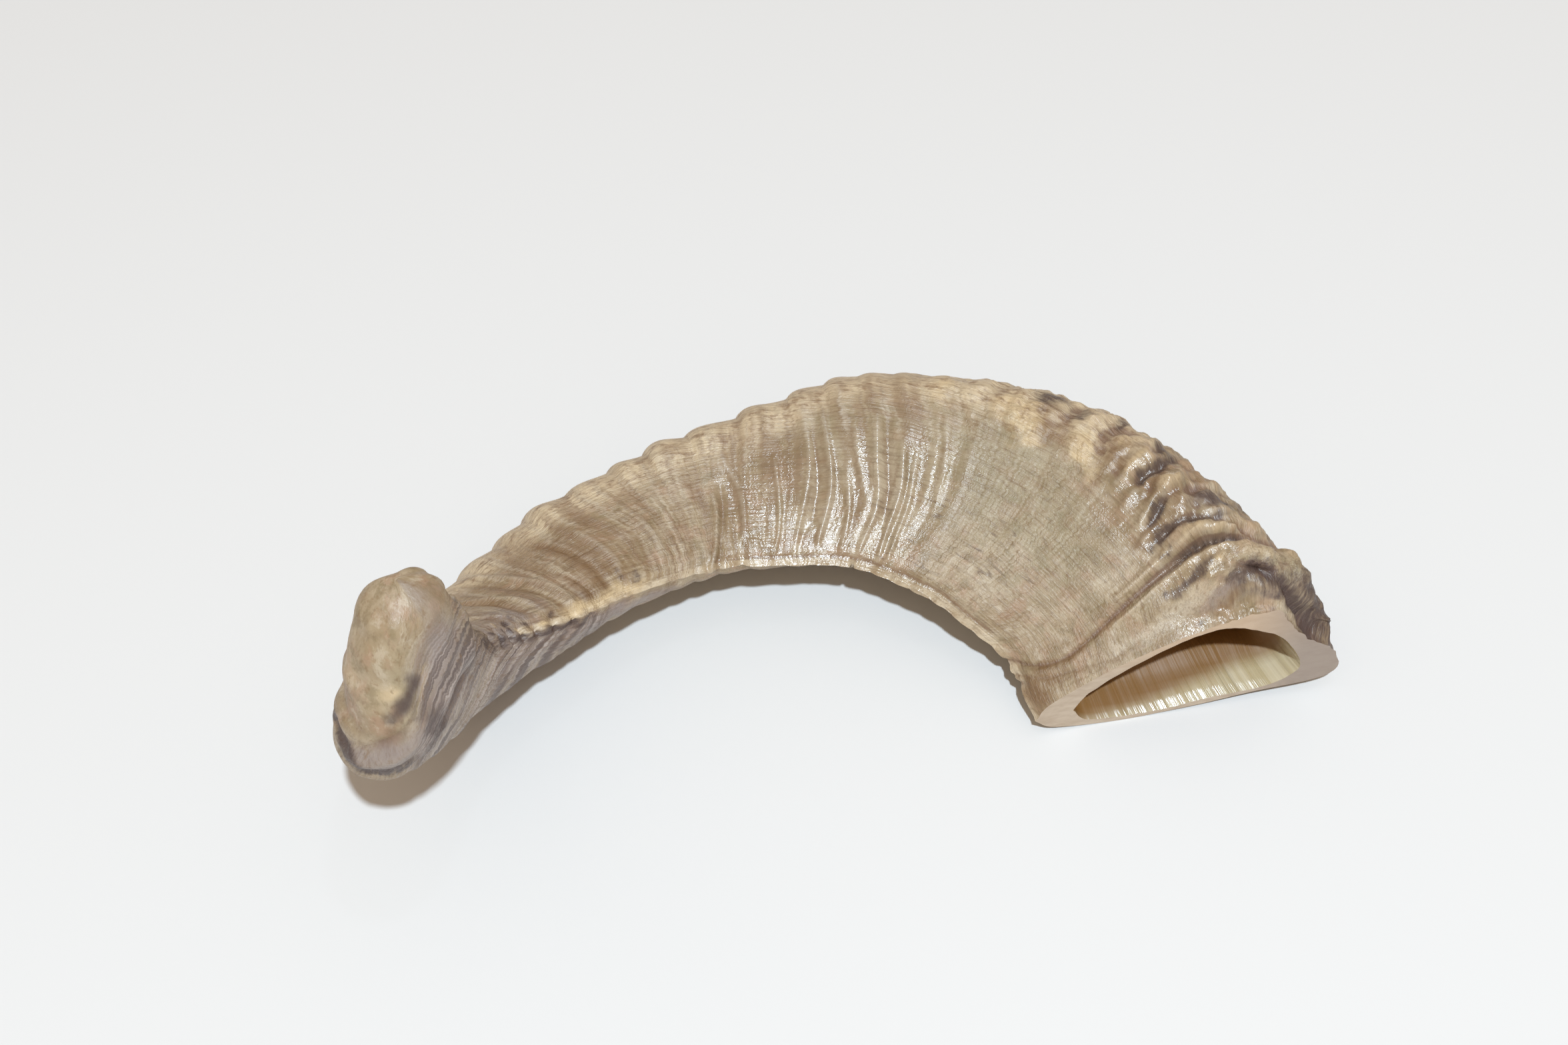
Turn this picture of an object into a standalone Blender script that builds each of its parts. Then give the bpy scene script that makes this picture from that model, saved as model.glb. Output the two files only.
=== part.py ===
"""Ram horn: one hollow sheath of horn, sawn off flat at its base, lying on its side.

The tables are in millimetres. The horn is drawn as it lies: x runs along it from tip to base, y away
from its open side, z up from the surface that it rests on.
"""

import math

import bmesh
import bpy
import numpy as np
from mathutils import Vector

MM = 0.001

# The middle of the horn's box, from the point that its lines are drawn from
CENTRE = np.array((15.6, -36.05, -0.3))

# Keel point (the sharp inner edge), heel point (the blunt outer edge) and the thickness between the two
# flanks, at stations from just past the saw cut to the tip
STATIONS = [
    ((61, -74, -1), (129, -63, 9), 20),
    ((54, -59, 3), (121, -47, 8), 26),
    ((48, -46, 8), (113, -31, 6), 29),
    ((39, -40, 13), (96, -10, 4), 31),
    ((30, -34, 16), (72, 12, 3), 29),
    ((15, -28, 18), (27, 25, 2), 26),
    ((-1, -28, 19), (-4, 15.4, 1), 23),
    ((-15, -30, 20), (-28, 3.5, 2), 22),
    ((-32, -40, 24), (-52, -12.2, 3), 21),
    ((-42, -49, 28), (-67, -27.8, 3), 20),
    ((-53, -58, 34), (-78, -50, 7), 20),
    ((-59, -64, 41), (-83, -76, 21), 21),
    ((-62, -68, 51), (-80, -96, 39), 19),
    ((-62, -72, 63), (-75, -99, 59), 18),
    ((-63, -76, 76), (-74, -93, 78), 14),
]

# Cross-section at the saw cut, along the base and at the tip: the first number runs from keel (-0.5) to
# heel (0.5) as a share of the width, the second across the thickness, positive on the flank that faces up
CUT_SECTION = [
    (-0.50, 0.02), (-0.445, 0.17), (-0.25, 0.39), (0.00, 0.60), (0.19, 0.665), (0.31, 0.67),
    (0.42, 0.30), (0.49, 0.06), (0.445, -0.15), (0.15, -0.17), (-0.20, -0.17), (-0.43, -0.09),
]
BASE_SECTION = [
    (-0.50, 0.00), (-0.44, 0.14), (-0.25, 0.40), (0.00, 0.74), (0.18, 0.95), (0.34, 0.84),
    (0.45, 0.50), (0.50, 0.12), (0.42, -0.10), (0.15, -0.14), (-0.20, -0.16), (-0.42, -0.08),
]
TIP_SECTION = [
    (-0.50, 0.00), (-0.44, 0.20), (-0.26, 0.42), (0.00, 0.58), (0.20, 0.62), (0.38, 0.50),
    (0.47, 0.28), (0.50, 0.02), (0.41, -0.28), (0.15, -0.45), (-0.20, -0.43), (-0.42, -0.24),
]

# The section turns from the cut's into the base's between the first two stations, and from the base's into
# the tip's between the others
CUT_END = 1.5
BASE_START = 1.9
TWIST_START = 5.2
TWIST_END = 9.9

# Points around each ring, mm between rings, how far the tip rounds past its last ring, in how many rings,
# and the share of a ring left flat at its end
AROUND = 40
RING_SPACING = 2.7
TIP_DOME = 6.0
TIP_RINGS = 4
TIP_FLAT = 0.6
STATION_STEP = 0.02
SHARP_ANGLE = math.radians(50)

# Growth rings: grooves at these stations, and how high each ridge between them stands, at the same
# twelve points as the cross-section
GROOVES = [
    0.30, 0.75, 1.15, 1.60, 2.05, 2.55, 3.10, 3.65, 4.05, 4.38, 4.65, 4.95, 5.20, 5.45, 5.85, 6.25,
    6.65, 7.03, 7.40, 7.75, 8.10, 8.45, 8.85, 9.30, 9.80, 10.40, 11.00, 11.70, 12.50, 13.30, 14.00,
]
RIDGE_SHARE = [0.35, 0.15, 0.12, 0.25, 0.80, 1.00, 1.00, 0.70, 0.30, 0.20, 0.20, 0.25]
RIDGE_STATIONS = [0, 2, 4, 5.5, 7, 9, 11, 14]
RIDGE_HEIGHTS = [1.0, 1.3, 1.4, 1.3, 1.3, 1.3, 0.9, 0.5]

# Each ridge is full in the middle and steeper on its tip side
RIDGE_LEAN = 1.35
RIDGE_FULLNESS = 0.8

# The growth rings near the base sag towards the cut beside the keel and rise at the crest
SAG = [0.0, -0.18, -0.28, -0.05, 0.20, 0.20, 0.12, 0.0, 0.0, 0.0, 0.0, 0.0]
SAG_GONE_AT = 4.5
SAG_FADE = 2.0

# Folds near the base: station, depth in mm, and half width in stations
FOLDS = [(1.58, 2.2, 0.10), (2.05, 2.6, 0.10), (2.55, 1.4, 0.10)]
FOLD_SHARE = [0.25, 0.30, 0.35, 0.65, 1.00, 1.00, 0.90, 0.50, 0.20, 0.0, 0.0, 0.10]

# The trough between crest and heel at the cut: place around, half width around, last station, depth
TROUGH_AROUND = 0.475
TROUGH_WIDTH = 0.05
TROUGH_END = 1.9
TROUGH_DEPTH = 3.0

# The hollow: its cross-section at the cut and inside, in the units of the horn's own, and how it narrows
# with the station
MOUTH_SECTION = [
    (-0.38, 0.05), (-0.315, 0.215), (-0.115, 0.46), (0.055, 0.59), (0.17, 0.575), (0.29, 0.42),
    (0.35, 0.21), (0.365, -0.01), (0.275, -0.08), (0.10, -0.085), (-0.15, -0.11), (-0.335, -0.05),
]
HOLLOW_SECTION = [
    (-0.38, 0.01), (-0.28, 0.19), (-0.10, 0.45), (0.05, 0.66), (0.17, 0.77), (0.27, 0.68),
    (0.33, 0.43), (0.345, 0.14), (0.29, -0.02), (0.10, -0.03), (-0.15, -0.04), (-0.32, -0.04),
]
HOLLOW_MIDDLE = (0.02, 0.30)
HOLLOW_STATIONS = [0.2, 1.0, 2.2, 3.2, 3.8, 4.15]
HOLLOW_SHARES = [1.0, 1.0, 0.94, 0.82, 0.60, 0.20]
HOLLOW_RINGS = 18
HOLLOW_AROUND = 24

# The saw cut: a point on its plane, which way it runs from keel to heel, and how far it leans back
CUT_POINT = (54.6, -58.5, 2.0)
CUT_RUN = (66.0, 13.0)
CUT_LEAN = math.radians(8)

HORN_COLOUR = (0.46, 0.36, 0.24, 1.0)
HORN_ROUGHNESS = 0.42


def through(points, at):
    """A smooth curve through the points (Catmull-Rom), read at station numbers."""
    points = np.asarray(points, float)
    if points.ndim == 1:
        points = points[:, None]
    at = np.asarray(at, float)
    first = np.clip(np.floor(at).astype(int), 0, len(points) - 2)
    part = (at - first)[..., None]
    ends = np.vstack([2 * points[0] - points[1], points, 2 * points[-1] - points[-2]])
    before, start, end, after = (ends[first + shift] for shift in range(4))
    return 0.5 * (
        2 * start
        + (end - before) * part
        + (2 * before - 5 * start + 4 * end - after) * part**2
        + (3 * start - before - 3 * end + after) * part**3
    )


def around(points, place):
    """The same curve on a closed loop, read at places from 0 to 1 that start at the keel."""
    loop = np.asarray(points, float)
    if loop.ndim == 1:
        loop = loop[:, None]
    return through(np.vstack([loop, loop[:1]]), np.asarray(place) * len(loop))


def unit(vectors):
    return vectors / np.linalg.norm(vectors, axis=-1, keepdims=True)


def cross_frame(station):
    """The middle line's point, the keel-to-heel and flank directions, the width and the thickness."""
    keels = [row[0] for row in STATIONS]
    heels = [row[1] for row in STATIONS]
    middles = (np.array(keels, float) + np.array(heels, float)) / 2
    middle = through(middles, station)
    ahead = through(middles, station + STATION_STEP)
    behind = through(middles, station - STATION_STEP)
    along = unit(ahead - behind)
    across = through(heels, station) - through(keels, station)
    width = np.linalg.norm(across, axis=-1, keepdims=True)
    across = across / width
    flank = unit(np.cross(across, along))
    thickness = through([row[2] for row in STATIONS], station)
    return middle, across, flank, width, thickness


def turned(station, start, end):
    """0 up to the start, 1 from the end, and an even turn between."""
    share = np.clip((station - start) / (end - start), 0, 1)
    return (share * share * (3 - 2 * share))[..., None]


def outline(station, place):
    """The cross-section's outline, from the cut's to the base's and over the twist to the tip's."""
    share = turned(station, CUT_END, BASE_START)
    base = around(CUT_SECTION, place) * (1 - share) + around(BASE_SECTION, place) * share
    share = turned(station, TWIST_START, TWIST_END)
    return base * (1 - share) + around(TIP_SECTION, place) * share


def relief(station, place):
    """How far the surface stands out from the plain horn, in mm: ridges, folds and the trough."""
    first = np.clip(np.searchsorted(GROOVES, station, side="right") - 1, 0, len(GROOVES) - 2)
    start = np.take(GROOVES, first)
    part = np.clip((station - start) / (np.take(GROOVES, first + 1) - start), 0, 1)
    ridge = np.sin(math.pi * part**RIDGE_LEAN) ** RIDGE_FULLNESS
    height = np.interp(station, RIDGE_STATIONS, RIDGE_HEIGHTS)
    out = ridge * height * around(RIDGE_SHARE, place)[..., 0]
    share = around(FOLD_SHARE, place)[..., 0]
    for at, depth, half_width in FOLDS:
        out = out - share * depth * np.exp(-(((station - at) / half_width) ** 2))
    trough = np.exp(-(((place - TROUGH_AROUND) / TROUGH_WIDTH) ** 2))
    return out - TROUGH_DEPTH * trough * np.clip(TROUGH_END - station, 0, 1)


def surface(station, place):
    """Points on the plain horn, without its relief, on growth rings that sag near the base."""
    sag = around(SAG, place)[..., 0] * np.clip((SAG_GONE_AT - station) / SAG_FADE, 0, 1)
    station = station + sag
    middle, across, flank, width, thickness = cross_frame(station)
    section = outline(station, place)
    return middle + across * section[..., :1] * width + flank * section[..., 1:] * thickness


def ring_stations():
    """Stations of the rings: one in every groove, and evenly between them."""
    stations = []
    for start, end in zip(GROOVES, GROOVES[1:]):
        ends, *_ = cross_frame(np.array((start, end)))
        count = max(2, round(float(np.linalg.norm(ends[1] - ends[0])) / RING_SPACING))
        stations.extend(start + (end - start) * step / count for step in range(count))
    return np.array(stations + [GROOVES[-1]])


def outer_rings():
    """The horn's skin with its relief, ring by ring, and the rings that round off its tip."""
    station, place = np.meshgrid(ring_stations(), np.arange(AROUND) / AROUND, indexing="ij")
    points = surface(station, place)
    lengthways = np.gradient(points, axis=0)
    sideways = np.roll(points, -1, axis=1) - np.roll(points, 1, axis=1)
    out = unit(np.cross(sideways, lengthways))
    points = points + out * relief(station, place)[..., None]
    rings = list(points)
    middle = rings[-1].mean(axis=0)
    ahead = unit(middle - rings[-2].mean(axis=0)) * TIP_DOME
    for step in range(1, TIP_RINGS + 1):
        turn = math.pi / 2 * step / (TIP_RINGS + TIP_FLAT)
        rings.append(middle + (rings[len(points) - 1] - middle) * math.cos(turn) + ahead * math.sin(turn))
    return rings


def hollow_rings():
    """The hollow's rings, from outside the cut to its rounded end inside the horn."""
    stations = np.linspace(HOLLOW_STATIONS[0], HOLLOW_STATIONS[-1], HOLLOW_RINGS)
    shares = np.interp(stations, HOLLOW_STATIONS, HOLLOW_SHARES)
    place = np.arange(HOLLOW_AROUND) / HOLLOW_AROUND
    rings = []
    for station, share in zip(stations, shares):
        middle, across, flank, width, thickness = cross_frame(np.array(station))
        inside = turned(np.array(station), CUT_END, BASE_START)
        section = around(MOUTH_SECTION, place) * (1 - inside) + around(HOLLOW_SECTION, place) * inside
        inner = np.array(HOLLOW_MIDDLE) + (section - np.array(HOLLOW_MIDDLE)) * share
        rings.append(middle + across * inner[:, :1] * width + flank * inner[:, 1:] * thickness)
    return rings


def lofted(rings):
    """A closed bmesh through rings of points: each ring bridged to the next, both ends filled."""
    bm = bmesh.new()
    loops = []
    for ring in rings:
        verts = [bm.verts.new(Vector((point - CENTRE) * MM)) for point in ring]
        loops.append([bm.edges.new((verts[k - 1], verts[k])) for k in range(len(verts))])
    for loop, following in zip(loops, loops[1:]):
        bmesh.ops.bridge_loops(bm, edges=loop + following)
    bmesh.ops.edgeloop_fill(bm, edges=loops[0])
    bmesh.ops.edgeloop_fill(bm, edges=loops[-1])
    bmesh.ops.recalc_face_normals(bm, faces=bm.faces)
    return bm


def saw(bm):
    """Cuts the base off flat and closes the cut. The tip also reaches past the plane, so it is left out."""
    run = Vector((CUT_RUN[0], CUT_RUN[1], 0)).normalized()
    level = run.cross(Vector((0, 0, 1)))
    normal = level * math.cos(CUT_LEAN) + Vector((0, 0, math.sin(CUT_LEAN)))
    point = Vector((np.array(CUT_POINT) - CENTRE) * MM)
    faces = [face for face in bm.faces if face.calc_center_median().x > 0]
    edges = {edge for face in faces for edge in face.edges}
    verts = {vert for face in faces for vert in face.verts}
    geometry = list(verts) + list(edges) + faces
    cut = bmesh.ops.bisect_plane(bm, geom=geometry, plane_co=point, plane_no=normal, clear_outer=True)
    rim = [item for item in cut["geom_cut"] if isinstance(item, bmesh.types.BMEdge)]
    bmesh.ops.edgeloop_fill(bm, edges=rim)
    bmesh.ops.recalc_face_normals(bm, faces=bm.faces)


def new_object(name, bm):
    mesh = bpy.data.meshes.new(name)
    bm.to_mesh(mesh)
    bm.free()
    mesh.shade_smooth()
    mesh.set_sharp_from_angle(angle=SHARP_ANGLE)
    made = bpy.data.objects.new(name, mesh)
    bpy.context.collection.objects.link(made)
    return made


def horn_material():
    material = bpy.data.materials.new("horn")
    material.use_nodes = True
    shader = material.node_tree.nodes["Principled BSDF"]
    shader.inputs["Base Color"].default_value = HORN_COLOUR
    shader.inputs["Roughness"].default_value = HORN_ROUGHNESS
    shader.inputs["Metallic"].default_value = 0.0
    return material


def main():
    for old in list(bpy.data.objects):
        bpy.data.objects.remove(old)

    skin = lofted(outer_rings())
    saw(skin)
    horn = new_object("horn", skin)
    horn.data.materials.append(horn_material())

    hollow = new_object("hollow_cutter", lofted(hollow_rings()))
    hollow.hide_render = True
    hollow.display_type = "WIRE"

    hole = horn.modifiers.new("hollow", "BOOLEAN")
    hole.operation = "DIFFERENCE"
    hole.solver = "EXACT"
    hole.object = hollow


main()
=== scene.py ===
import math

import bmesh
import bpy
import numpy as np
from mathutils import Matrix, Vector, noise


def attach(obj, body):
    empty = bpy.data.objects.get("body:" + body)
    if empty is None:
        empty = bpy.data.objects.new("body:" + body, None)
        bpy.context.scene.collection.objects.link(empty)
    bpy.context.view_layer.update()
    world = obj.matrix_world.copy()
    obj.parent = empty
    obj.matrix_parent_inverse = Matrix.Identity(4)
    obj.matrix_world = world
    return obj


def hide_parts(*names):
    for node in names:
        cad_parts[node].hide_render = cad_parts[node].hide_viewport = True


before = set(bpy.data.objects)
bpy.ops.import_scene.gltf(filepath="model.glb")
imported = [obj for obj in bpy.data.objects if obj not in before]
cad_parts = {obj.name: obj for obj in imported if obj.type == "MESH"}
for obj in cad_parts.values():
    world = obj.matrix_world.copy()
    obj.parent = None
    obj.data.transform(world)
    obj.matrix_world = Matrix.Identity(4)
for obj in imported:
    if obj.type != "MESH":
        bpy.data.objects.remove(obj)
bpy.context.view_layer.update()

# The horn's body
# A ram's horn is a sheath of keratin that grows ring by ring from its base, in an open spiral. These lines
# give its keel (the sharp inner edge), its heel (the blunt outer edge) and its thickness as it lies, in mm.
MM = 0.001
# The middle of the underside of the horn's box, where the part's frame starts
CENTRE = np.array((15.6, -36.05, -0.3))
STATIONS = [
    ((61, -74, -1), (129, -63, 9), 20),
    ((54, -59, 3), (121, -47, 8), 26),
    ((48, -46, 8), (113, -31, 6), 29),
    ((39, -40, 13), (96, -10, 4), 31),
    ((30, -34, 16), (72, 12, 3), 29),
    ((15, -28, 18), (27, 25, 2), 26),
    ((-1, -28, 19), (-4, 15.4, 1), 23),
    ((-15, -30, 20), (-28, 3.5, 2), 22),
    ((-32, -40, 24), (-52, -12.2, 3), 21),
    ((-42, -49, 28), (-67, -27.8, 3), 20),
    ((-53, -58, 34), (-78, -50, 7), 20),
    ((-59, -64, 41), (-83, -76, 21), 21),
    ((-62, -68, 51), (-80, -96, 39), 19),
    ((-62, -72, 63), (-75, -99, 59), 18),
    ((-63, -76, 76), (-74, -93, 78), 14),
]
LAST_STATION = len(STATIONS) - 1

# Its cross-section at the saw cut, along the base and at the tip: the first number runs from keel (-0.5) to
# heel (0.5), the second across the thickness. Behind the cut it swells into the base's, and over the twist it
# turns into the tip's.
CUT_SECTION = [
    (-0.50, 0.02), (-0.445, 0.17), (-0.25, 0.39), (0.00, 0.60), (0.19, 0.665), (0.31, 0.67),
    (0.42, 0.30), (0.49, 0.06), (0.445, -0.15), (0.15, -0.17), (-0.20, -0.17), (-0.43, -0.09),
]
BASE_SECTION = [
    (-0.50, 0.00), (-0.44, 0.14), (-0.25, 0.40), (0.00, 0.74), (0.18, 0.95), (0.34, 0.84),
    (0.45, 0.50), (0.50, 0.12), (0.42, -0.10), (0.15, -0.14), (-0.20, -0.16), (-0.42, -0.08),
]
TIP_SECTION = [
    (-0.50, 0.00), (-0.44, 0.20), (-0.26, 0.42), (0.00, 0.58), (0.20, 0.62), (0.38, 0.50),
    (0.47, 0.28), (0.50, 0.02), (0.41, -0.28), (0.15, -0.45), (-0.20, -0.43), (-0.42, -0.24),
]
CUT_END = 1.5
BASE_START = 1.9
TWIST_START = 5.2
TWIST_END = 9.9
STATION_STEP = 0.02
PLACE_STEP = 0.002
# The rings near the base sag towards the cut beside the keel and rise at the crest
SAG = [0.0, -0.18, -0.28, -0.05, 0.20, 0.20, 0.12, 0.0, 0.0, 0.0, 0.0, 0.0]
SAG_GONE_AT = 4.5
SAG_FADE = 2.0


def through(points, at):
    """A smooth curve through the points (Catmull-Rom), read at station numbers."""
    points = np.asarray(points, float)
    if points.ndim == 1:
        points = points[:, None]
    at = np.asarray(at, float)
    first = np.clip(np.floor(at).astype(int), 0, len(points) - 2)
    part = (at - first)[..., None]
    ends = np.vstack([2 * points[0] - points[1], points, 2 * points[-1] - points[-2]])
    before, start, end, after = (ends[first + shift] for shift in range(4))
    return 0.5 * (
        2 * start
        + (end - before) * part
        + (2 * before - 5 * start + 4 * end - after) * part**2
        + (3 * start - before - 3 * end + after) * part**3
    )


def around(points, place):
    """The same curve on a closed loop, read at places from 0 to 1 that start at the keel."""
    loop = np.asarray(points, float)
    if loop.ndim == 1:
        loop = loop[:, None]
    place = np.mod(place, 1.0)
    return through(np.vstack([loop, loop[:1]]), place * len(loop))


def unit(vectors):
    return vectors / np.linalg.norm(vectors, axis=-1, keepdims=True)


def cross_frame(station):
    """The middle line's point, the keel-to-heel and flank directions, the width and the thickness."""
    keels = [row[0] for row in STATIONS]
    heels = [row[1] for row in STATIONS]
    middles = (np.array(keels, float) + np.array(heels, float)) / 2
    middle = through(middles, station)
    ahead = through(middles, station + STATION_STEP)
    behind = through(middles, station - STATION_STEP)
    along = unit(ahead - behind)
    across = through(heels, station) - through(keels, station)
    width = np.linalg.norm(across, axis=-1, keepdims=True)
    across = across / width
    flank = unit(np.cross(across, along))
    thickness = through([row[2] for row in STATIONS], station)
    return middle, across, flank, width, thickness


def smooth(low, high, value):
    """0 below low, 1 above high, and an even turn between."""
    share = np.clip((value - low) / (high - low), 0, 1)
    return share * share * (3 - 2 * share)


def outline(station, place):
    share = smooth(CUT_END, BASE_START, station)[..., None]
    base = around(CUT_SECTION, place) * (1 - share) + around(BASE_SECTION, place) * share
    share = smooth(TWIST_START, TWIST_END, station)[..., None]
    return base * (1 - share) + around(TIP_SECTION, place) * share


def body(station, place):
    """Points on the plain horn, before ridges and folds."""
    sag = around(SAG, place)[..., 0] * np.clip((SAG_GONE_AT - station) / SAG_FADE, 0, 1)
    station = station + sag
    middle, across, flank, width, thickness = cross_frame(station)
    section = outline(station, place)
    return middle + across * section[..., :1] * width + flank * section[..., 1:] * thickness


def outward(station, place):
    """The plain horn's outward direction."""
    lengthways = body(station + STATION_STEP, place) - body(station - STATION_STEP, place)
    sideways = body(station, place + PLACE_STEP) - body(station, place - PLACE_STEP)
    return unit(np.cross(sideways, lengthways))


# Growth rings
# Each spell of growth ends in a lip around the horn, gentle towards the base and steep towards the tip, and
# strongest on the outer curve. Each ring is (its groove's station, the height in mm of the lip behind it).
RINGS = [
    (0.30, 1.0), (0.75, 1.0), (1.15, 0.9), (1.60, 0.9), (2.00, 0.8), (2.42, 0.7), (2.90, 0.8), (3.43, 0.9),
    (3.93, 1.0), (4.31, 0.9), (4.61, 0.5), (4.80, 0.4), (4.99, 0.5), (5.19, 0.9), (5.43, 1.0), (5.73, 1.5),
    (6.25, 1.2), (6.75, 1.6), (7.16, 1.1), (7.48, 0.8), (7.88, 1.4), (8.30, 0.8), (8.75, 1.2), (9.25, 0.8),
    (9.80, 1.0), (10.35, 1.1), (10.90, 1.0), (11.50, 0.9), (12.10, 0.7), (12.80, 0.5), (13.50, 0.4),
    (14.00, 0.4),
]
RING_SHARE = [0.30, 0.10, 0.08, 0.20, 0.85, 1.00, 1.00, 0.70, 0.40, 0.35, 0.35, 0.30]
RING_LEAN = 1.8
RING_FULLNESS = 0.8
RING_WAVER = 0.04
# Fine ridges between the rings: length in mm, waves around, a seed and height in mm. Their strengths are for
# the whole skin, for what the near flank adds and for what the skin under the twist adds.
FINE_RIDGES = [(1.3, 5, 3.0, 0.11), (3.2, 3, 8.0, 0.22)]
FINE_STRENGTHS = (0.2, 0.8, 2.0)
# Windows and points around the horn are given in 24ths, from the keel up the near flank, over the crest and
# the heel, and back beneath
PARTS_AROUND = 24
# Rings bow on the flanks, so how far, in stations, the age runs ahead of the station at eight steps around:
# the keel, three steps up the near flank, the crest, and three steps back to the keel on the far flank. Four
# level steps over the heel come between.
BOW_STATIONS = [1.3, 2.0, 3.0, 4.5, 5.3, 5.7, 6.2, 6.8, 7.2, 7.6, 8.4, 9.1, 10.0, 11.0, 12.5, 14.0]
BOW = [
    (0.05, 0.10, -0.05, -0.10, 0, 0, 0, 0.02),
    (0.05, 0.10, -0.08, -0.18, 0, 0, 0, 0.02),
    (0.05, 0.08, 0.00, -0.08, 0, 0, 0, 0.02),
    (0.10, 0.17, 0.23, 0.14, 0, 0, 0, 0.05),
    (-0.05, 0.05, 0.18, 0.07, 0, 0, 0, -0.02),
    (-0.12, -0.10, 0.00, 0.04, 0, 0, 0, -0.06),
    (-0.25, -0.22, -0.15, -0.05, 0, 0, 0, -0.12),
    (-0.32, -0.24, -0.15, -0.04, 0, 0, 0, -0.16),
    (-0.10, 0.02, 0.05, 0.00, 0, 0, 0, -0.05),
    (0.20, 0.27, 0.25, 0.05, 0, 0, 0, 0.10),
    (0.12, 0.20, 0.15, 0.00, 0, 0, 0, 0.00),
    (0.15, 0.20, 0.10, 0.00, 0, 0, -0.10, -0.15),
    (0.10, 0.15, 0.12, 0.05, 0, -0.20, -0.50, -0.45),
    (0.00, 0.00, 0.00, 0.00, 0, -0.70, -1.05, -0.80),
    (0.00, 0.00, 0.00, 0.00, 0, -1.20, -1.40, -0.70),
    (0.00, 0.00, 0.00, 0.00, 0, -0.40, -0.40, -0.20),
]
LEVEL_STEPS = [0, 0, 0, 0]
MIDDLE_STEPS = 600


def window(low, high, fade, value):
    """1 between low and high, and 0 beyond them by more than the fade."""
    return smooth(low - fade, low + fade, value) * (1 - smooth(high - fade, high + fade, value))


def age_of(station, place):
    """The growth ring that passes through a point, as the station that it has at the crest."""
    rows = [list(row[:5]) + LEVEL_STEPS + list(row[5:]) for row in BOW]
    bows = np.stack([around(row, place)[..., 0] for row in rows])
    at = np.interp(station, BOW_STATIONS, np.arange(len(BOW)))
    low = np.clip(np.floor(at).astype(int), 0, len(BOW) - 2)
    part = at - low
    lower = np.take_along_axis(bows, low[None], 0)[0]
    upper = np.take_along_axis(bows, low[None] + 1, 0)[0]
    return station + lower * (1 - part) + upper * part


def rough(*coordinates):
    """Smooth noise from -1 to 1 at an array of points."""
    points = np.stack(np.broadcast_arrays(*coordinates), -1)
    values = [noise.noise(Vector(point)) for point in points.reshape(-1, 3)]
    return np.array(values).reshape(points.shape[:-1])


middle_stations = np.linspace(0, LAST_STATION, MIDDLE_STEPS)
middle_steps = np.linalg.norm(np.diff(cross_frame(middle_stations)[0], axis=0), axis=1)
middle_run = np.concatenate([[0], np.cumsum(middle_steps)])


def millimetres(station):
    """Length along the middle line at a station."""
    return np.interp(station, middle_stations, middle_run)


def rings_out(station, place):
    starts, heights = zip(*RINGS)
    age = age_of(station, place) + rough(place * 9, station * 2, 1.0) * RING_WAVER
    first = np.clip(np.searchsorted(starts, age, side="right") - 1, 0, len(RINGS) - 2)
    start = np.take(starts, first)
    part = np.clip((age - start) / (np.take(starts, first + 1) - start), 0, 1)
    ridge = np.sin(math.pi * part**RING_LEAN) ** RING_FULLNESS
    out = ridge * np.take(heights, first) * around(RING_SHARE, place)[..., 0]
    run = millimetres(age)
    at = place * PARTS_AROUND
    flank = window(1.0, 8.5, 0.8, at)
    bold = smooth(3.9, 4.6, station) * (1 - 0.4 * smooth(9, 11, station))
    under = smooth(16, 18, at) * window(8.8, 13.7, 0.5, station)
    fine = sum(rough(run / long, place * many, seed) * height for long, many, seed, height in FINE_RIDGES)
    everywhere, on_flank, beneath = FINE_STRENGTHS
    return out + fine * (everywhere + on_flank * flank * bold + beneath * under)


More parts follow.
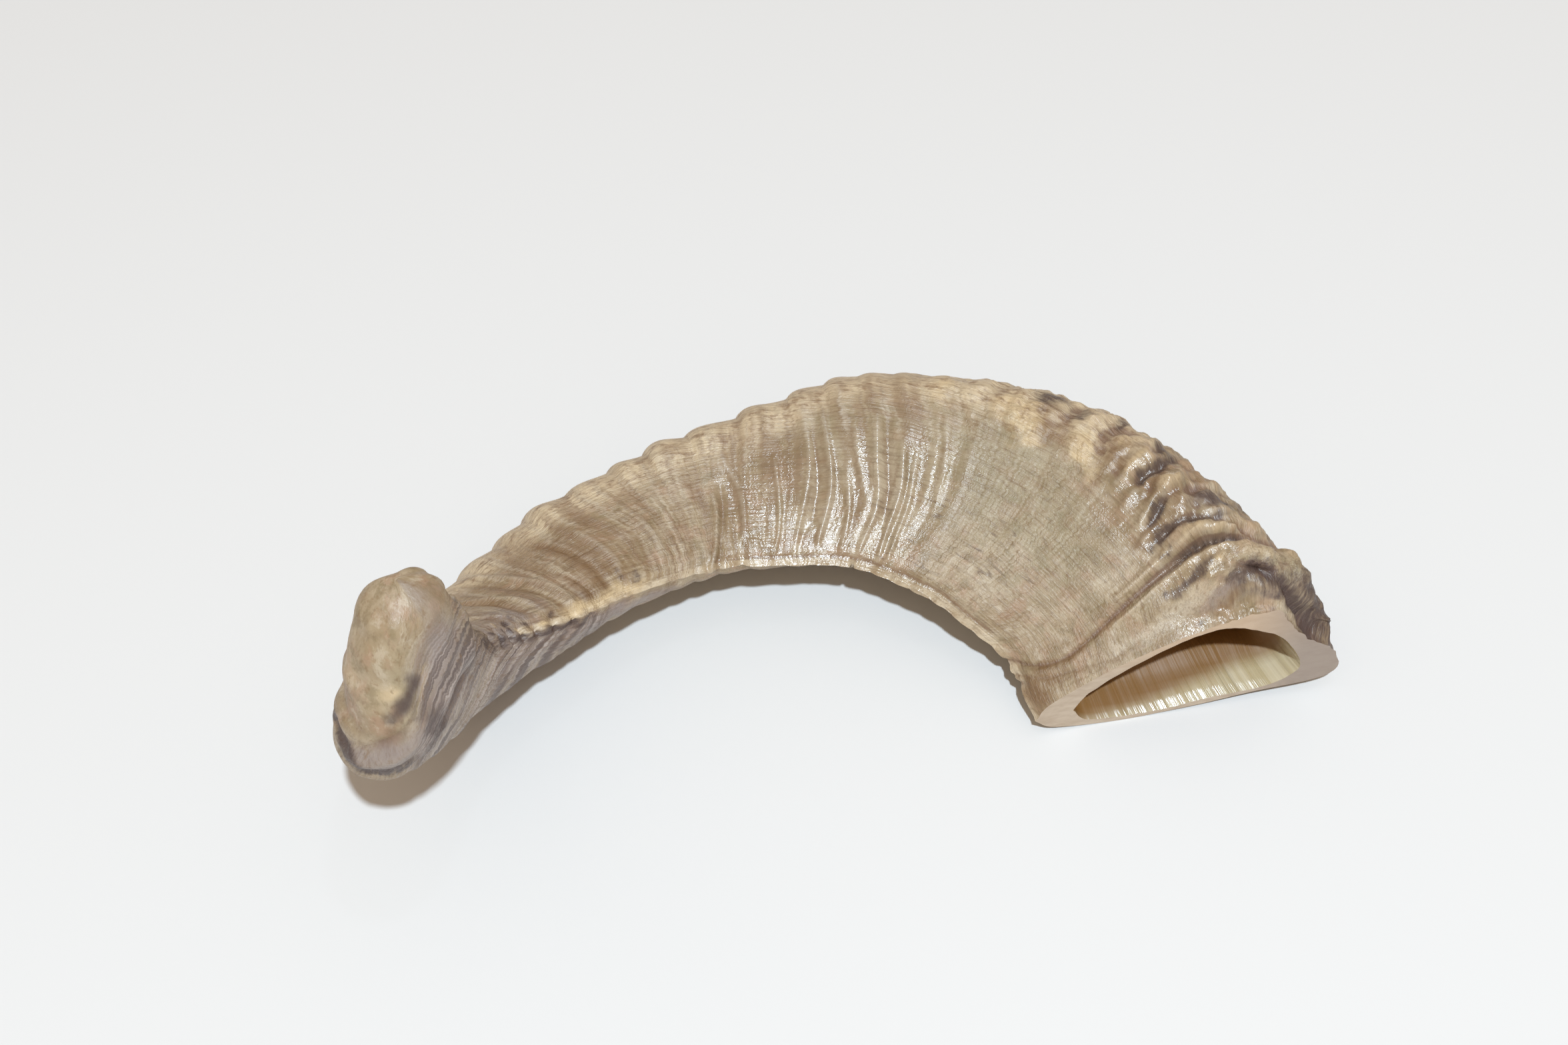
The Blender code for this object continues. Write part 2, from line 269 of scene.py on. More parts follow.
# Lines across the horn
# Single ridges and grooves stand out from the rings: pale polished ridges on the flank, brown grooves, and
# near the base the folds where growth stopped and started again, as a brown seam that deepens over the crest.
# Each is (its tone, height in mm, half width in stations, its points as place in 24ths and station).
# The pale tone of the pale lines is partly a painted highlight where the ridges catch the light
LINES = [
    ("pale", 0.35, 0.034, [(2.0, 5.76), (3.1, 5.67), (3.8, 5.60), (5.1, 5.53), (5.9, 5.56), (7.6, 5.60)]),
    ("pale", 0.50, 0.030, [(1.9, 5.48), (3.0, 5.40), (3.6, 5.34), (4.4, 5.33), (5.8, 5.40), (6.9, 5.44)]),
    ("pale", 0.30, 0.030, [(3.9, 5.00), (4.4, 5.07), (5.2, 5.15), (6.0, 5.18)]),
    ("pale", 0.55, 0.032, [(1.6, 4.98), (3.2, 4.88), (3.7, 4.86), (4.4, 4.93), (5.1, 4.98), (6.4, 5.04)]),
    ("pale", 0.50, 0.026, [(1.6, 4.72), (3.0, 4.72), (3.8, 4.70), (4.5, 4.73), (5.5, 4.82)]),
    ("pale", 0.50, 0.026, [(1.6, 4.60), (2.9, 4.62), (3.6, 4.61), (4.6, 4.65), (5.2, 4.70)]),
    ("pale", 0.45, 0.026, [(4.1, 4.42), (4.7, 4.46), (5.2, 4.48), (5.9, 4.56), (6.6, 4.60)]),
    ("pale", 0.30, 0.024, [(5.1, 4.35), (5.6, 4.37), (6.0, 4.40)]),
    ("pale", 0.35, 0.030, [(1.5, 5.20), (2.6, 5.14), (3.6, 5.14), (4.6, 5.22)]),
    ("pale", 0.30, 0.030, [(1.6, 6.05), (2.8, 5.95), (4.0, 5.90), (5.4, 5.92)]),
    ("pale", 0.35, 0.045, [(1.9, 6.59), (3.1, 6.41), (4.7, 6.36), (5.4, 6.47), (6.5, 6.50)]),
    ("pale", 0.85, 0.040, [(-0.6, 7.08), (0.1, 7.06), (1.8, 6.93), (3.2, 6.80), (3.8, 6.74), (4.8, 6.72)]),
    ("pale", 0.40, 0.040, [(2.2, 7.51), (3.5, 7.47), (4.3, 7.49), (4.8, 7.54)]),
    ("pale", 0.30, 0.045, [(2.0, 8.05), (3.0, 7.95), (4.2, 8.00), (5.4, 8.12)]),
    ("pale", 0.65, 0.050, [(1.3, 8.99), (2.8, 8.95), (3.6, 9.02), (4.3, 9.14), (5.6, 9.26), (7.3, 9.36)]),
    ("pale", 0.60, 0.045, [(2.6, 9.42), (3.9, 9.53), (4.5, 9.70), (5.6, 9.85)]),
    ("pale", 0.55, 0.045, [(1.6, 9.85), (2.6, 10.00), (2.9, 10.28), (3.6, 10.50)]),
    ("brown", -0.40, 0.045, [(3.0, 5.53), (4.5, 5.44), (5.2, 5.49), (6.2, 5.51)]),
    ("brown", -0.50, 0.040, [(3.0, 4.79), (3.7, 4.78), (4.5, 4.84), (5.1, 4.91), (6.4, 4.97)]),
    ("brown", -0.70, 0.050, [(-0.4, 6.96), (0.5, 6.93), (2.4, 6.82), (4.0, 6.64), (5.0, 6.60)]),
    ("brown", -0.30, 0.040, [(1.5, 7.68), (3.2, 7.62), (4.4, 7.62), (5.4, 7.70)]),
    ("brown", -0.40, 0.060, [(1.6, 8.28), (2.9, 8.24), (4.0, 8.27), (5.2, 8.45), (6.2, 8.60)]),
    ("brown", -0.35, 0.050, [(1.6, 9.16), (2.9, 9.14), (4.0, 9.28), (5.6, 9.44), (7.3, 9.52)]),
    ("brown", -0.35, 0.045, [(2.2, 9.62), (3.9, 9.72), (5.0, 9.90)]),
    ("brown", -0.35, 0.050, [(1.3, 8.62), (2.4, 8.55), (3.6, 8.70), (4.8, 8.86)]),
    ("brown", -0.70, 0.048, [(-0.4, 2.05), (0.8, 2.02), (1.7, 1.92), (2.4, 1.86), (3.0, 1.87), (3.6, 2.02),
                             (4.2, 2.12), (4.6, 2.18), (5.0, 2.20), (5.5, 2.23), (6.2, 2.23)]),
    ("dark", -1.70, 0.052, [(6.3, 2.23), (6.8, 2.20), (7.3, 2.14), (7.9, 2.09), (8.4, 2.01), (9.2, 2.01),
                            (9.7, 1.97), (10.3, 1.86)]),
    ("plain", -0.80, 0.075, [(5.6, 2.23), (6.8, 2.20), (7.9, 2.09), (9.2, 2.01), (10.6, 1.82), (12.5, 1.75)]),
    ("dark", -1.40, 0.052, [(6.5, 2.53), (6.9, 2.47), (7.4, 2.42), (7.8, 2.37), (8.2, 2.27), (8.6, 2.22)]),
    ("brown", -1.10, 0.055, [(8.6, 2.22), (9.0, 2.16), (9.5, 2.09), (10.2, 2.00)]),
    ("pale", 0.75, 0.045, [(4.8, 2.33), (5.8, 2.34), (6.5, 2.34), (7.2, 2.28), (8.3, 2.15), (9.2, 2.10)]),
    ("pale", 0.60, 0.036, [(4.4, 2.04), (5.4, 2.11), (6.0, 2.13), (6.5, 2.12), (7.1, 2.03), (8.0, 1.96),
                           (9.0, 1.90)]),
    ("dark", -1.60, 0.060, [(8.2, 1.75), (8.7, 1.61), (9.2, 1.55), (9.9, 1.50), (10.6, 1.45), (11.3, 1.30)]),
    ("brown", -0.40, 0.035, [(-0.4, 1.78), (1.0, 1.74), (2.2, 1.66), (3.3, 1.70)]),
    ("dark", -1.30, 0.060, [(7.2, 3.07), (7.6, 3.05), (8.3, 2.97), (9.0, 3.08), (9.6, 3.05)]),
    ("dark", -1.20, 0.050, [(6.6, 2.69), (7.1, 2.71), (7.5, 2.72)]),
    ("brown", -0.70, 0.050, [(7.3, 2.72), (8.2, 2.63), (8.9, 2.58), (9.8, 2.60)]),
    ("brown", -0.70, 0.060, [(7.6, 3.62), (8.4, 3.60), (9.4, 3.58), (10.2, 3.60)]),
    ("dark", -0.50, 0.070, [(8.9, 12.42), (10.8, 12.43), (11.7, 12.38), (13.1, 12.25), (14.5, 12.18),
                            (15.5, 12.25), (16.7, 12.37)]),
    ("plain", 3.00, 0.20, [(10.6, 1.70), (11.5, 1.62), (13.5, 1.50)]),
]
LINE_FADE = 0.45
# A line's corners are rounded by reading it at these shifts around the horn, in 24ths
LINE_ROUNDING = [-0.5, -0.25, 0.0, 0.25, 0.5]
# Bumps, knobs and pits: place in 24ths, station, half sizes of both, height in mm
BUMPS = [
    (6.9, 3.19, 0.35, 0.060, 0.6), (6.6, 3.02, 0.35, 0.060, 0.8), (6.4, 2.76, 0.30, 0.055, 0.9),
    (6.1, 2.62, 0.30, 0.055, 0.8), (7.9, 2.80, 0.50, 0.080, 0.7), (8.2, 3.42, 0.60, 0.090, 0.5),
    (7.7, 3.22, 0.50, 0.060, 0.5), (8.9, 2.33, 0.50, 0.070, 0.5), (8.3, 2.15, 0.30, 0.045, 0.6),
    (7.5, 2.27, 0.30, 0.045, 0.5), (7.0, 2.27, 0.22, 0.040, 0.4), (7.8, 1.88, 0.50, 0.060, 0.4),
    (8.5, 1.84, 0.50, 0.060, 0.5), (8.0, 1.62, 0.50, 0.070, -0.7), (7.5, 3.06, 0.30, 0.050, -0.7),
    (7.1, 2.71, 0.25, 0.045, -0.7), (6.6, 2.51, 0.30, 0.050, -0.9), (9.0, 3.20, 0.45, 0.060, -0.6),
    (6.5, 2.32, 0.30, 0.045, -0.5), (7.2, 2.88, 0.40, 0.060, -0.5), (9.3, 1.75, 0.60, 0.060, 0.6),
    (10.4, 1.62, 0.60, 0.070, 0.6), (7.2, 3.70, 0.60, 0.100, 0.3), (8.6, 3.90, 0.50, 0.060, -0.6),
    (8.5, 4.10, 0.50, 0.060, -0.4), (7.4, 4.18, 0.50, 0.070, 0.3), (1.4, 10.15, 0.30, 0.080, -0.6),
    (1.2, 9.38, 0.30, 0.070, -0.5), (1.5, 10.50, 0.35, 0.090, 0.7), (23.4, 11.45, 0.40, 0.12, 0.5),
]


def hill(value, middle, half):
    return np.exp(-(((value - middle) / half) ** 2))


def line_share(line, at, station):
    """How near a point is to a line, from 0 to 1."""
    places, stations = zip(*line[3])
    at = np.where(at - PARTS_AROUND > places[0] - 1, at - PARTS_AROUND, at)
    middle = sum(np.interp(at + shift, places, stations) for shift in LINE_ROUNDING) / len(LINE_ROUNDING)
    return hill(station, middle, line[2]) * window(places[0], places[-1], LINE_FADE, at)


def lines_out(station, place):
    at = place * PARTS_AROUND
    out = np.zeros(np.broadcast(station, place).shape)
    for line in LINES:
        out = out + line[1] * line_share(line, at, station)
    for bump_place, bump_station, wide, long, height in BUMPS:
        out = out + height * hill(at, bump_place, wide) * hill(station, bump_station, long)
    return out


# The trough
# Between the crest and the heel the skin dips. The dip is deepest at the cut and fades out behind it.
TROUGH_AROUND = 0.475
TROUGH_WIDTH = 0.05
TROUGH_END = 1.9
TROUGH_DEPTH = 3.0


def trough(station, place):
    return -TROUGH_DEPTH * hill(place, TROUGH_AROUND, TROUGH_WIDTH) * np.clip(TROUGH_END - station, 0, 1)


# The keel's worn edge
# The thin inner edge is a narrow lip, chipped and cracked where growth rings end, and over the twist it
# breaks up into knobs: station, depth in mm (a knob is negative) and half width in stations.
KEEL_NICKS = [
    (1.62, 0.6, 0.05), (1.95, 0.4, 0.05), (2.35, 0.1, 0.09), (2.80, 0.2, 0.08), (3.20, 0.1, 0.08),
    (3.55, 0.2, 0.08), (4.05, 0.1, 0.08), (4.50, 0.1, 0.08), (4.75, 0.2, 0.06), (5.02, 1.1, 0.018),
    (5.40, 0.2, 0.05), (6.60, 0.3, 0.06), (6.97, -0.7, 0.05), (7.08, 0.5, 0.03), (7.55, 0.3, 0.05),
    (8.00, 0.4, 0.05), (8.38, 0.4, 0.05), (8.80, 0.7, 0.05), (9.12, 0.9, 0.05), (9.45, 1.2, 0.05),
    (9.75, 1.4, 0.05), (10.02, 1.5, 0.05), (10.30, 1.5, 0.05), (10.60, 1.4, 0.06), (10.95, 1.1, 0.07),
]
KEEL_WIDTH = 0.7 / PARTS_AROUND
# The groove that sets the lip off from the flank, as place in 24ths
LIP_GROOVE = 1.05
LIP_GROOVE_HALF = 0.22
LIP_GROOVE_DEPTH = 0.22


def keel_wear(station, place):
    from_keel = np.minimum(place, 1 - place)
    out = np.zeros(np.broadcast(station, place).shape)
    for at, depth, half in KEEL_NICKS:
        out = out - depth * hill(station, at, half)
    groove = hill(place * PARTS_AROUND, LIP_GROOVE, LIP_GROOVE_HALF) * window(2.4, 10.0, 0.4, station)
    return out * hill(from_keel, 0, KEEL_WIDTH) - groove * LIP_GROOVE_DEPTH


# Lumps
# The old growth at the crest and heel is knobbly, and the whole skin is a little uneven. The blunt tip is
# worn to broad swellings with a rolled rim above its underside. Waves are given as length in mm, a shift and
# height in mm, and folds as height in mm, half width in stations and points.
SKIN_WAVES = [(16, 0, 0.35)]
OLD_WAVES = [(5, 0, 1.1), (2.2, 0, 0.85), (1.1, 0, 0.24)]
TIP_WAVES = [(9, 5, 0.9), (4, 2, 0.25)]
TIP_FOLDS = [
    (-1.1, 0.13, [(9.8, 12.44), (11.4, 12.44), (12.5, 12.51), (14.2, 12.66), (15.4, 12.84), (16.3, 13.03)]),
    (0.9, 0.12, [(12.0, 12.30), (13.9, 12.42), (15.3, 12.56), (16.4, 12.78)]),
    (0.8, 0.12, [(17.6, 12.95), (18.6, 13.10), (19.6, 13.20)]),
    (-0.7, 0.12, [(17.6, 12.65), (18.8, 12.75), (19.8, 12.80)]),
]
# The near flank swells towards the keel in the middle of the curve: place in 24ths, station, half sizes, mm
SWELL = (5.0, 5.1, 2.1, 1.0, 2.6)
# The tip's top is worn flat, so its corners are cut back: place in 24ths, station, half sizes, mm
TIP_CORNERS = [(4.3, 14.0, 1.6, 0.40, -1.6), (0.4, 14.0, 1.8, 0.60, -3.0), (21.5, 13.7, 2.0, 0.8, -1.2)]


def apart(at, place):
    """How far around the horn a point lies from a place, the short way, in 24ths."""
    half_round = PARTS_AROUND / 2
    return np.mod(at - place + half_round, PARTS_AROUND) - half_round


def waves(points, sizes):
    """Uneven heights, in mm, at points on the plain horn."""
    x, y, z = np.moveaxis(points, -1, 0)
    return sum(rough(x / size + shift, y / size, z / size) * height for size, shift, height in sizes)


def lumps(station, place, points):
    at = place * PARTS_AROUND
    crest = window(6.7, 11.5, 0.8, at) * (1 - smooth(3.9, 5.2, station))
    heel = window(8.0, 14.5, 1.0, at) * (1 - smooth(1.9, 2.6, station))
    tip = smooth(11.2, 12.5, station)
    out = waves(points, SKIN_WAVES) + np.maximum(crest, heel) * waves(points, OLD_WAVES)
    out = out + tip * waves(points, TIP_WAVES)
    for height, half, fold in TIP_FOLDS:
        out = out + height * line_share(("plain", height, half, sorted(fold)), at, station)
    for swell_place, swell_station, wide, long, height in [SWELL, *TIP_CORNERS]:
        out = out + height * hill(apart(at, swell_place), 0, wide) * hill(station, swell_station, long)
    return out


def relief(station, place, plain):
    """How far the finished skin stands off the plain body, in mm."""
    raised = rings_out(station, place) + lines_out(station, place) + trough(station, place)
    return raised + keel_wear(station, place) + lumps(station, place, plain)


def skin(station, place):
    """Points on the finished outer surface."""
    plain = body(station, place)
    return plain + outward(station, place) * relief(station, place, plain)[..., None]


# The saw cut and the hollow
# The base was sawn off flat, leaning back a little, and the bone core pulled out of the sheath. The hollow
# follows the horn and narrows to a rounded end inside it.
CUT_POINT = np.array((54.6, -58.5, 2.0))
CUT_RUN = unit(np.array((66.0, 13.0, 0.0)))
CUT_LEAN = math.radians(8)
CUT_LEVEL = np.cross(CUT_RUN, (0, 0, 1))
CUT_NORMAL = CUT_LEVEL * math.cos(CUT_LEAN) + np.array((0, 0, math.sin(CUT_LEAN)))
MOUTH_SECTION = [
    (-0.38, 0.05), (-0.315, 0.215), (-0.115, 0.46), (0.055, 0.59), (0.17, 0.575), (0.29, 0.42),
    (0.35, 0.21), (0.365, -0.01), (0.275, -0.08), (0.10, -0.085), (-0.15, -0.11), (-0.335, -0.05),
]
HOLLOW_SECTION = [
    (-0.38, 0.01), (-0.28, 0.19), (-0.10, 0.45), (0.05, 0.66), (0.17, 0.77), (0.27, 0.68),
    (0.33, 0.43), (0.345, 0.14), (0.29, -0.02), (0.10, -0.03), (-0.15, -0.04), (-0.32, -0.04),
]
HOLLOW_MIDDLE = np.array((0.02, 0.30))
HOLLOW_STATIONS = [0.2, 1.0, 2.2, 3.2, 3.8, 4.15]
HOLLOW_SHARES = [1.0, 1.0, 0.94, 0.82, 0.60, 0.20]
# The core left faint flutes along the wall: waves around, waves in a station, a seed and height in mm
FLUTES = [(60, 0.8, 2.0, 0.14), (24, 0.5, 5.0, 0.28)]
# The lower wall thins towards the cut, by this much in mm
MOUTH_FLARE = 1.2
# The cut lies between these stations, and is found by halving the stretch this often
CUT_BETWEEN = (0.2, 3.0)
CUT_HALVINGS = 30


def hollow_wall(station, place):
    """Points on the hollow's wall, with its flutes."""
    middle, across, flank, width, thickness = cross_frame(station)
    inside = smooth(CUT_END, BASE_START, station)[..., None]
    section = around(MOUTH_SECTION, place) * (1 - inside) + around(HOLLOW_SECTION, place) * inside
    share = np.interp(station, HOLLOW_STATIONS, HOLLOW_SHARES)[..., None]
    section = HOLLOW_MIDDLE + (section - HOLLOW_MIDDLE) * share
    flutes = sum(rough(place * many, station * along, seed) * height for many, along, seed, height in FLUTES)
    at = place * PARTS_AROUND
    lower = window(15, 22.5, 1.2, at) * (1 + 0.6 * hill(at, 17, 1.5))
    flutes = flutes - MOUTH_FLARE * lower * (1 - smooth(0.8, 1.8, station))
    across_out = section[..., :1] * width
    flank_out = section[..., 1:] * thickness + flutes[..., None]
    return middle + across * across_out + flank * flank_out


def cut_station(surface, places):
    """The station at which each line along a surface meets the plane of the saw cut."""
    low = np.full(len(places), CUT_BETWEEN[0])
    high = np.full(len(places), CUT_BETWEEN[1])
    for _ in range(CUT_HALVINGS):
        middle = (low + high) / 2
        outside = (surface(middle, places) - CUT_POINT) @ CUT_NORMAL > 0
        low = np.where(outside, middle, low)
        high = np.where(outside, high, middle)
    return (low + high) / 2


# The skin's mesh
# One closed skin from the hollow's end, out over the sawn rim and along the horn to its tip. It is extruded
# as a straight tube, ring by ring, closed at both ends, and then each ring is put where the horn has it. The
# number of faces is given for each twelfth of the way around from the keel.
FACES_AROUND = [12, 26, 32, 26, 22, 16, 10, 8, 10, 12, 12, 10]
twelfths = [twelfth + np.arange(count) / count for twelfth, count in enumerate(FACES_AROUND)]
PLACES = np.concatenate(twelfths) / len(FACES_AROUND)
AROUND = len(PLACES)
HOLLOW_RINGS = 34
RIM_RINGS = 7
OUTER_RINGS = 430
TIP_RINGS = 9
TIP_DOME = 6.0
TIP_FLAT = 0.6
TIP_TURNS = math.pi / 2 * np.arange(1, TIP_RINGS + 1) / (TIP_RINGS + TIP_FLAT)
SHARP_ANGLE = math.radians(58)
# The first ring follows the slant of the cut, and the later ones straighten over this many stations
CUT_FADE = 3.0
# Rings stand closer where the relief is fine: station, and how many stand in a length against the average
CLOSENESS_STATIONS = [1.2, 3.3, 3.5, 4.1, 4.3, 7.2, 7.6, 10.6, 11.5, 14.0]
CLOSENESS = [1.35, 1.35, 0.9, 0.9, 1.3, 1.3, 1.0, 1.0, 0.65, 0.65]


def hollow_rings():
    """From the hollow's end to its mouth in the cut."""
    mouth = cut_station(hollow_wall, PLACES)
    share = np.linspace(1, 0, HOLLOW_RINGS)[:, None]
    stations = mouth + (HOLLOW_STATIONS[-1] - mouth) * share
    return hollow_wall(stations, np.broadcast_to(PLACES, stations.shape))


def outer_stations():
    """Stations of the outer rings, which stand as close as the relief needs."""
    start = cut_station(skin, PLACES)
    first = start.mean()
    steps = middle_steps * np.interp(middle_stations[1:], CLOSENESS_STATIONS, CLOSENESS)
    count = np.concatenate([[0], np.cumsum(steps)])
    wanted = np.linspace(np.interp(first, middle_stations, count), count[-1], OUTER_RINGS)
    even = np.interp(wanted, count, middle_stations)[:, None]
    fade = np.clip(1 - (even - first) / CUT_FADE, 0, 1) ** 2
    return even + (start - first) * fade


def tip_rings(last, before):
    """Rings that round off the tip beyond the last ring."""
    middle = last.mean(axis=0)
    ahead = unit(middle - before.mean(axis=0)) * TIP_DOME
    return [middle + (last - middle) * math.cos(turn) + ahead * math.sin(turn) for turn in TIP_TURNS]


inner = hollow_rings()
stations = outer_stations()
places = np.broadcast_to(PLACES, stations.shape)
plain_skin = body(stations, places)
raised = relief(stations, places, plain_skin)
outer = plain_skin + outward(stations, places) * raised[..., None]
rim_shares = np.arange(1, RIM_RINGS) / RIM_RINGS
rim = [inner[-1] + (outer[0] - inner[-1]) * share for share in rim_shares]
tip = tip_rings(outer[-1], outer[-4])
rings = [inner[0], *inner, *rim, *outer, *tip, tip[-1]]
rings = (np.array(rings) - CENTRE) * MM

tube = bmesh.new()
bmesh.ops.create_circle(tube, segments=AROUND, radius=1.0)
growing = tube.edges[:]
for _ in rings[1:]:
    grown = bmesh.ops.extrude_edge_only(tube, edges=growing)["geom"]
    growing = [item for item in grown if isinstance(item, bmesh.types.BMEdge) and item.is_boundary]
    moved = [item for item in grown if isinstance(item, bmesh.types.BMVert)]
    bmesh.ops.translate(tube, verts=moved, vec=(0, 0, 1))
for end in (0, len(rings) - 1):
    end_verts = [vert for vert in tube.verts if round(vert.co.z) == end]
    bmesh.ops.pointmerge(tube, verts=end_verts, merge_co=Vector((0, 0, end)))

turns = [math.atan2(vert.co.y, vert.co.x) / math.tau for vert in tube.verts]
ring_of = np.array([round(vert.co.z) for vert in tube.verts])
slot_of = np.array([round(turn * AROUND) % AROUND for turn in turns])
for vert, ring, slot in zip(tube.verts, ring_of, slot_of):
    if ring in (0, len(rings) - 1):
        vert.co = Vector(rings[ring].mean(axis=0))
    else:
        vert.co = Vector(rings[ring][slot])
bmesh.ops.recalc_face_normals(tube, faces=tube.faces)

FIRST_RIM_RING = HOLLOW_RINGS
FIRST_OUTER_RING = FIRST_RIM_RING + RIM_RINGS
mesh = bpy.data.meshes.new("horn_skin")
tube.to_mesh(mesh)
tube.free()
horn = bpy.data.objects.new("horn_skin", mesh)
bpy.context.scene.collection.objects.link(horn)

face_rings = np.array([ring_of[list(poly.vertices)].min() for poly in mesh.polygons])
face_material = np.where(face_rings < FIRST_RIM_RING, 2, np.where(face_rings < FIRST_OUTER_RING, 1, 0))
mesh.polygons.foreach_set("material_index", face_material.astype(np.int32))
mesh.shade_smooth()
mesh.set_sharp_from_angle(angle=SHARP_ANGLE)

# Where each vertex lies in the horn
# The patterns follow the horn's growth, so each vertex carries its age in millimetres along the horn, its
# distance from the keel and its height off the flank.
outer_ring = ring_of - FIRST_OUTER_RING
ring_index = np.clip(outer_ring, 0, OUTER_RINGS - 1)
vert_station = stations[ring_index, slot_of]
vert_place = PLACES[slot_of]
vert_at = vert_place * PARTS_AROUND
vert_age = age_of(vert_station, vert_place)


def keep(name, values):
    """Stores one number, or one vector, for each vertex."""
    values = np.asarray(values, np.float32)
    if values.ndim == 1:
        layer = mesh.attributes.new(name, "FLOAT", "POINT")
        layer.data.foreach_set("value", values)
    else:
        layer = mesh.attributes.new(name, "FLOAT_VECTOR", "POINT")
        layer.data.foreach_set("vector", values.ravel())


section_now = outline(vert_station, vert_place)
frame_now = cross_frame(vert_station)
dome_step = np.clip(outer_ring - (OUTER_RINGS - 1), 0, TIP_RINGS)
dome_turn = np.concatenate([[0], TIP_TURNS])[dome_step]
keel_distance = (section_now[:, 0] * np.cos(dome_turn) + 0.5) * frame_now[3][:, 0]
flank_height = section_now[:, 1] * np.cos(dome_turn) * frame_now[4][:, 0]
grown_run = millimetres(vert_age) + TIP_DOME * np.sin(dome_turn)
keep("grown", np.stack([grown_run, keel_distance, flank_height], -1))
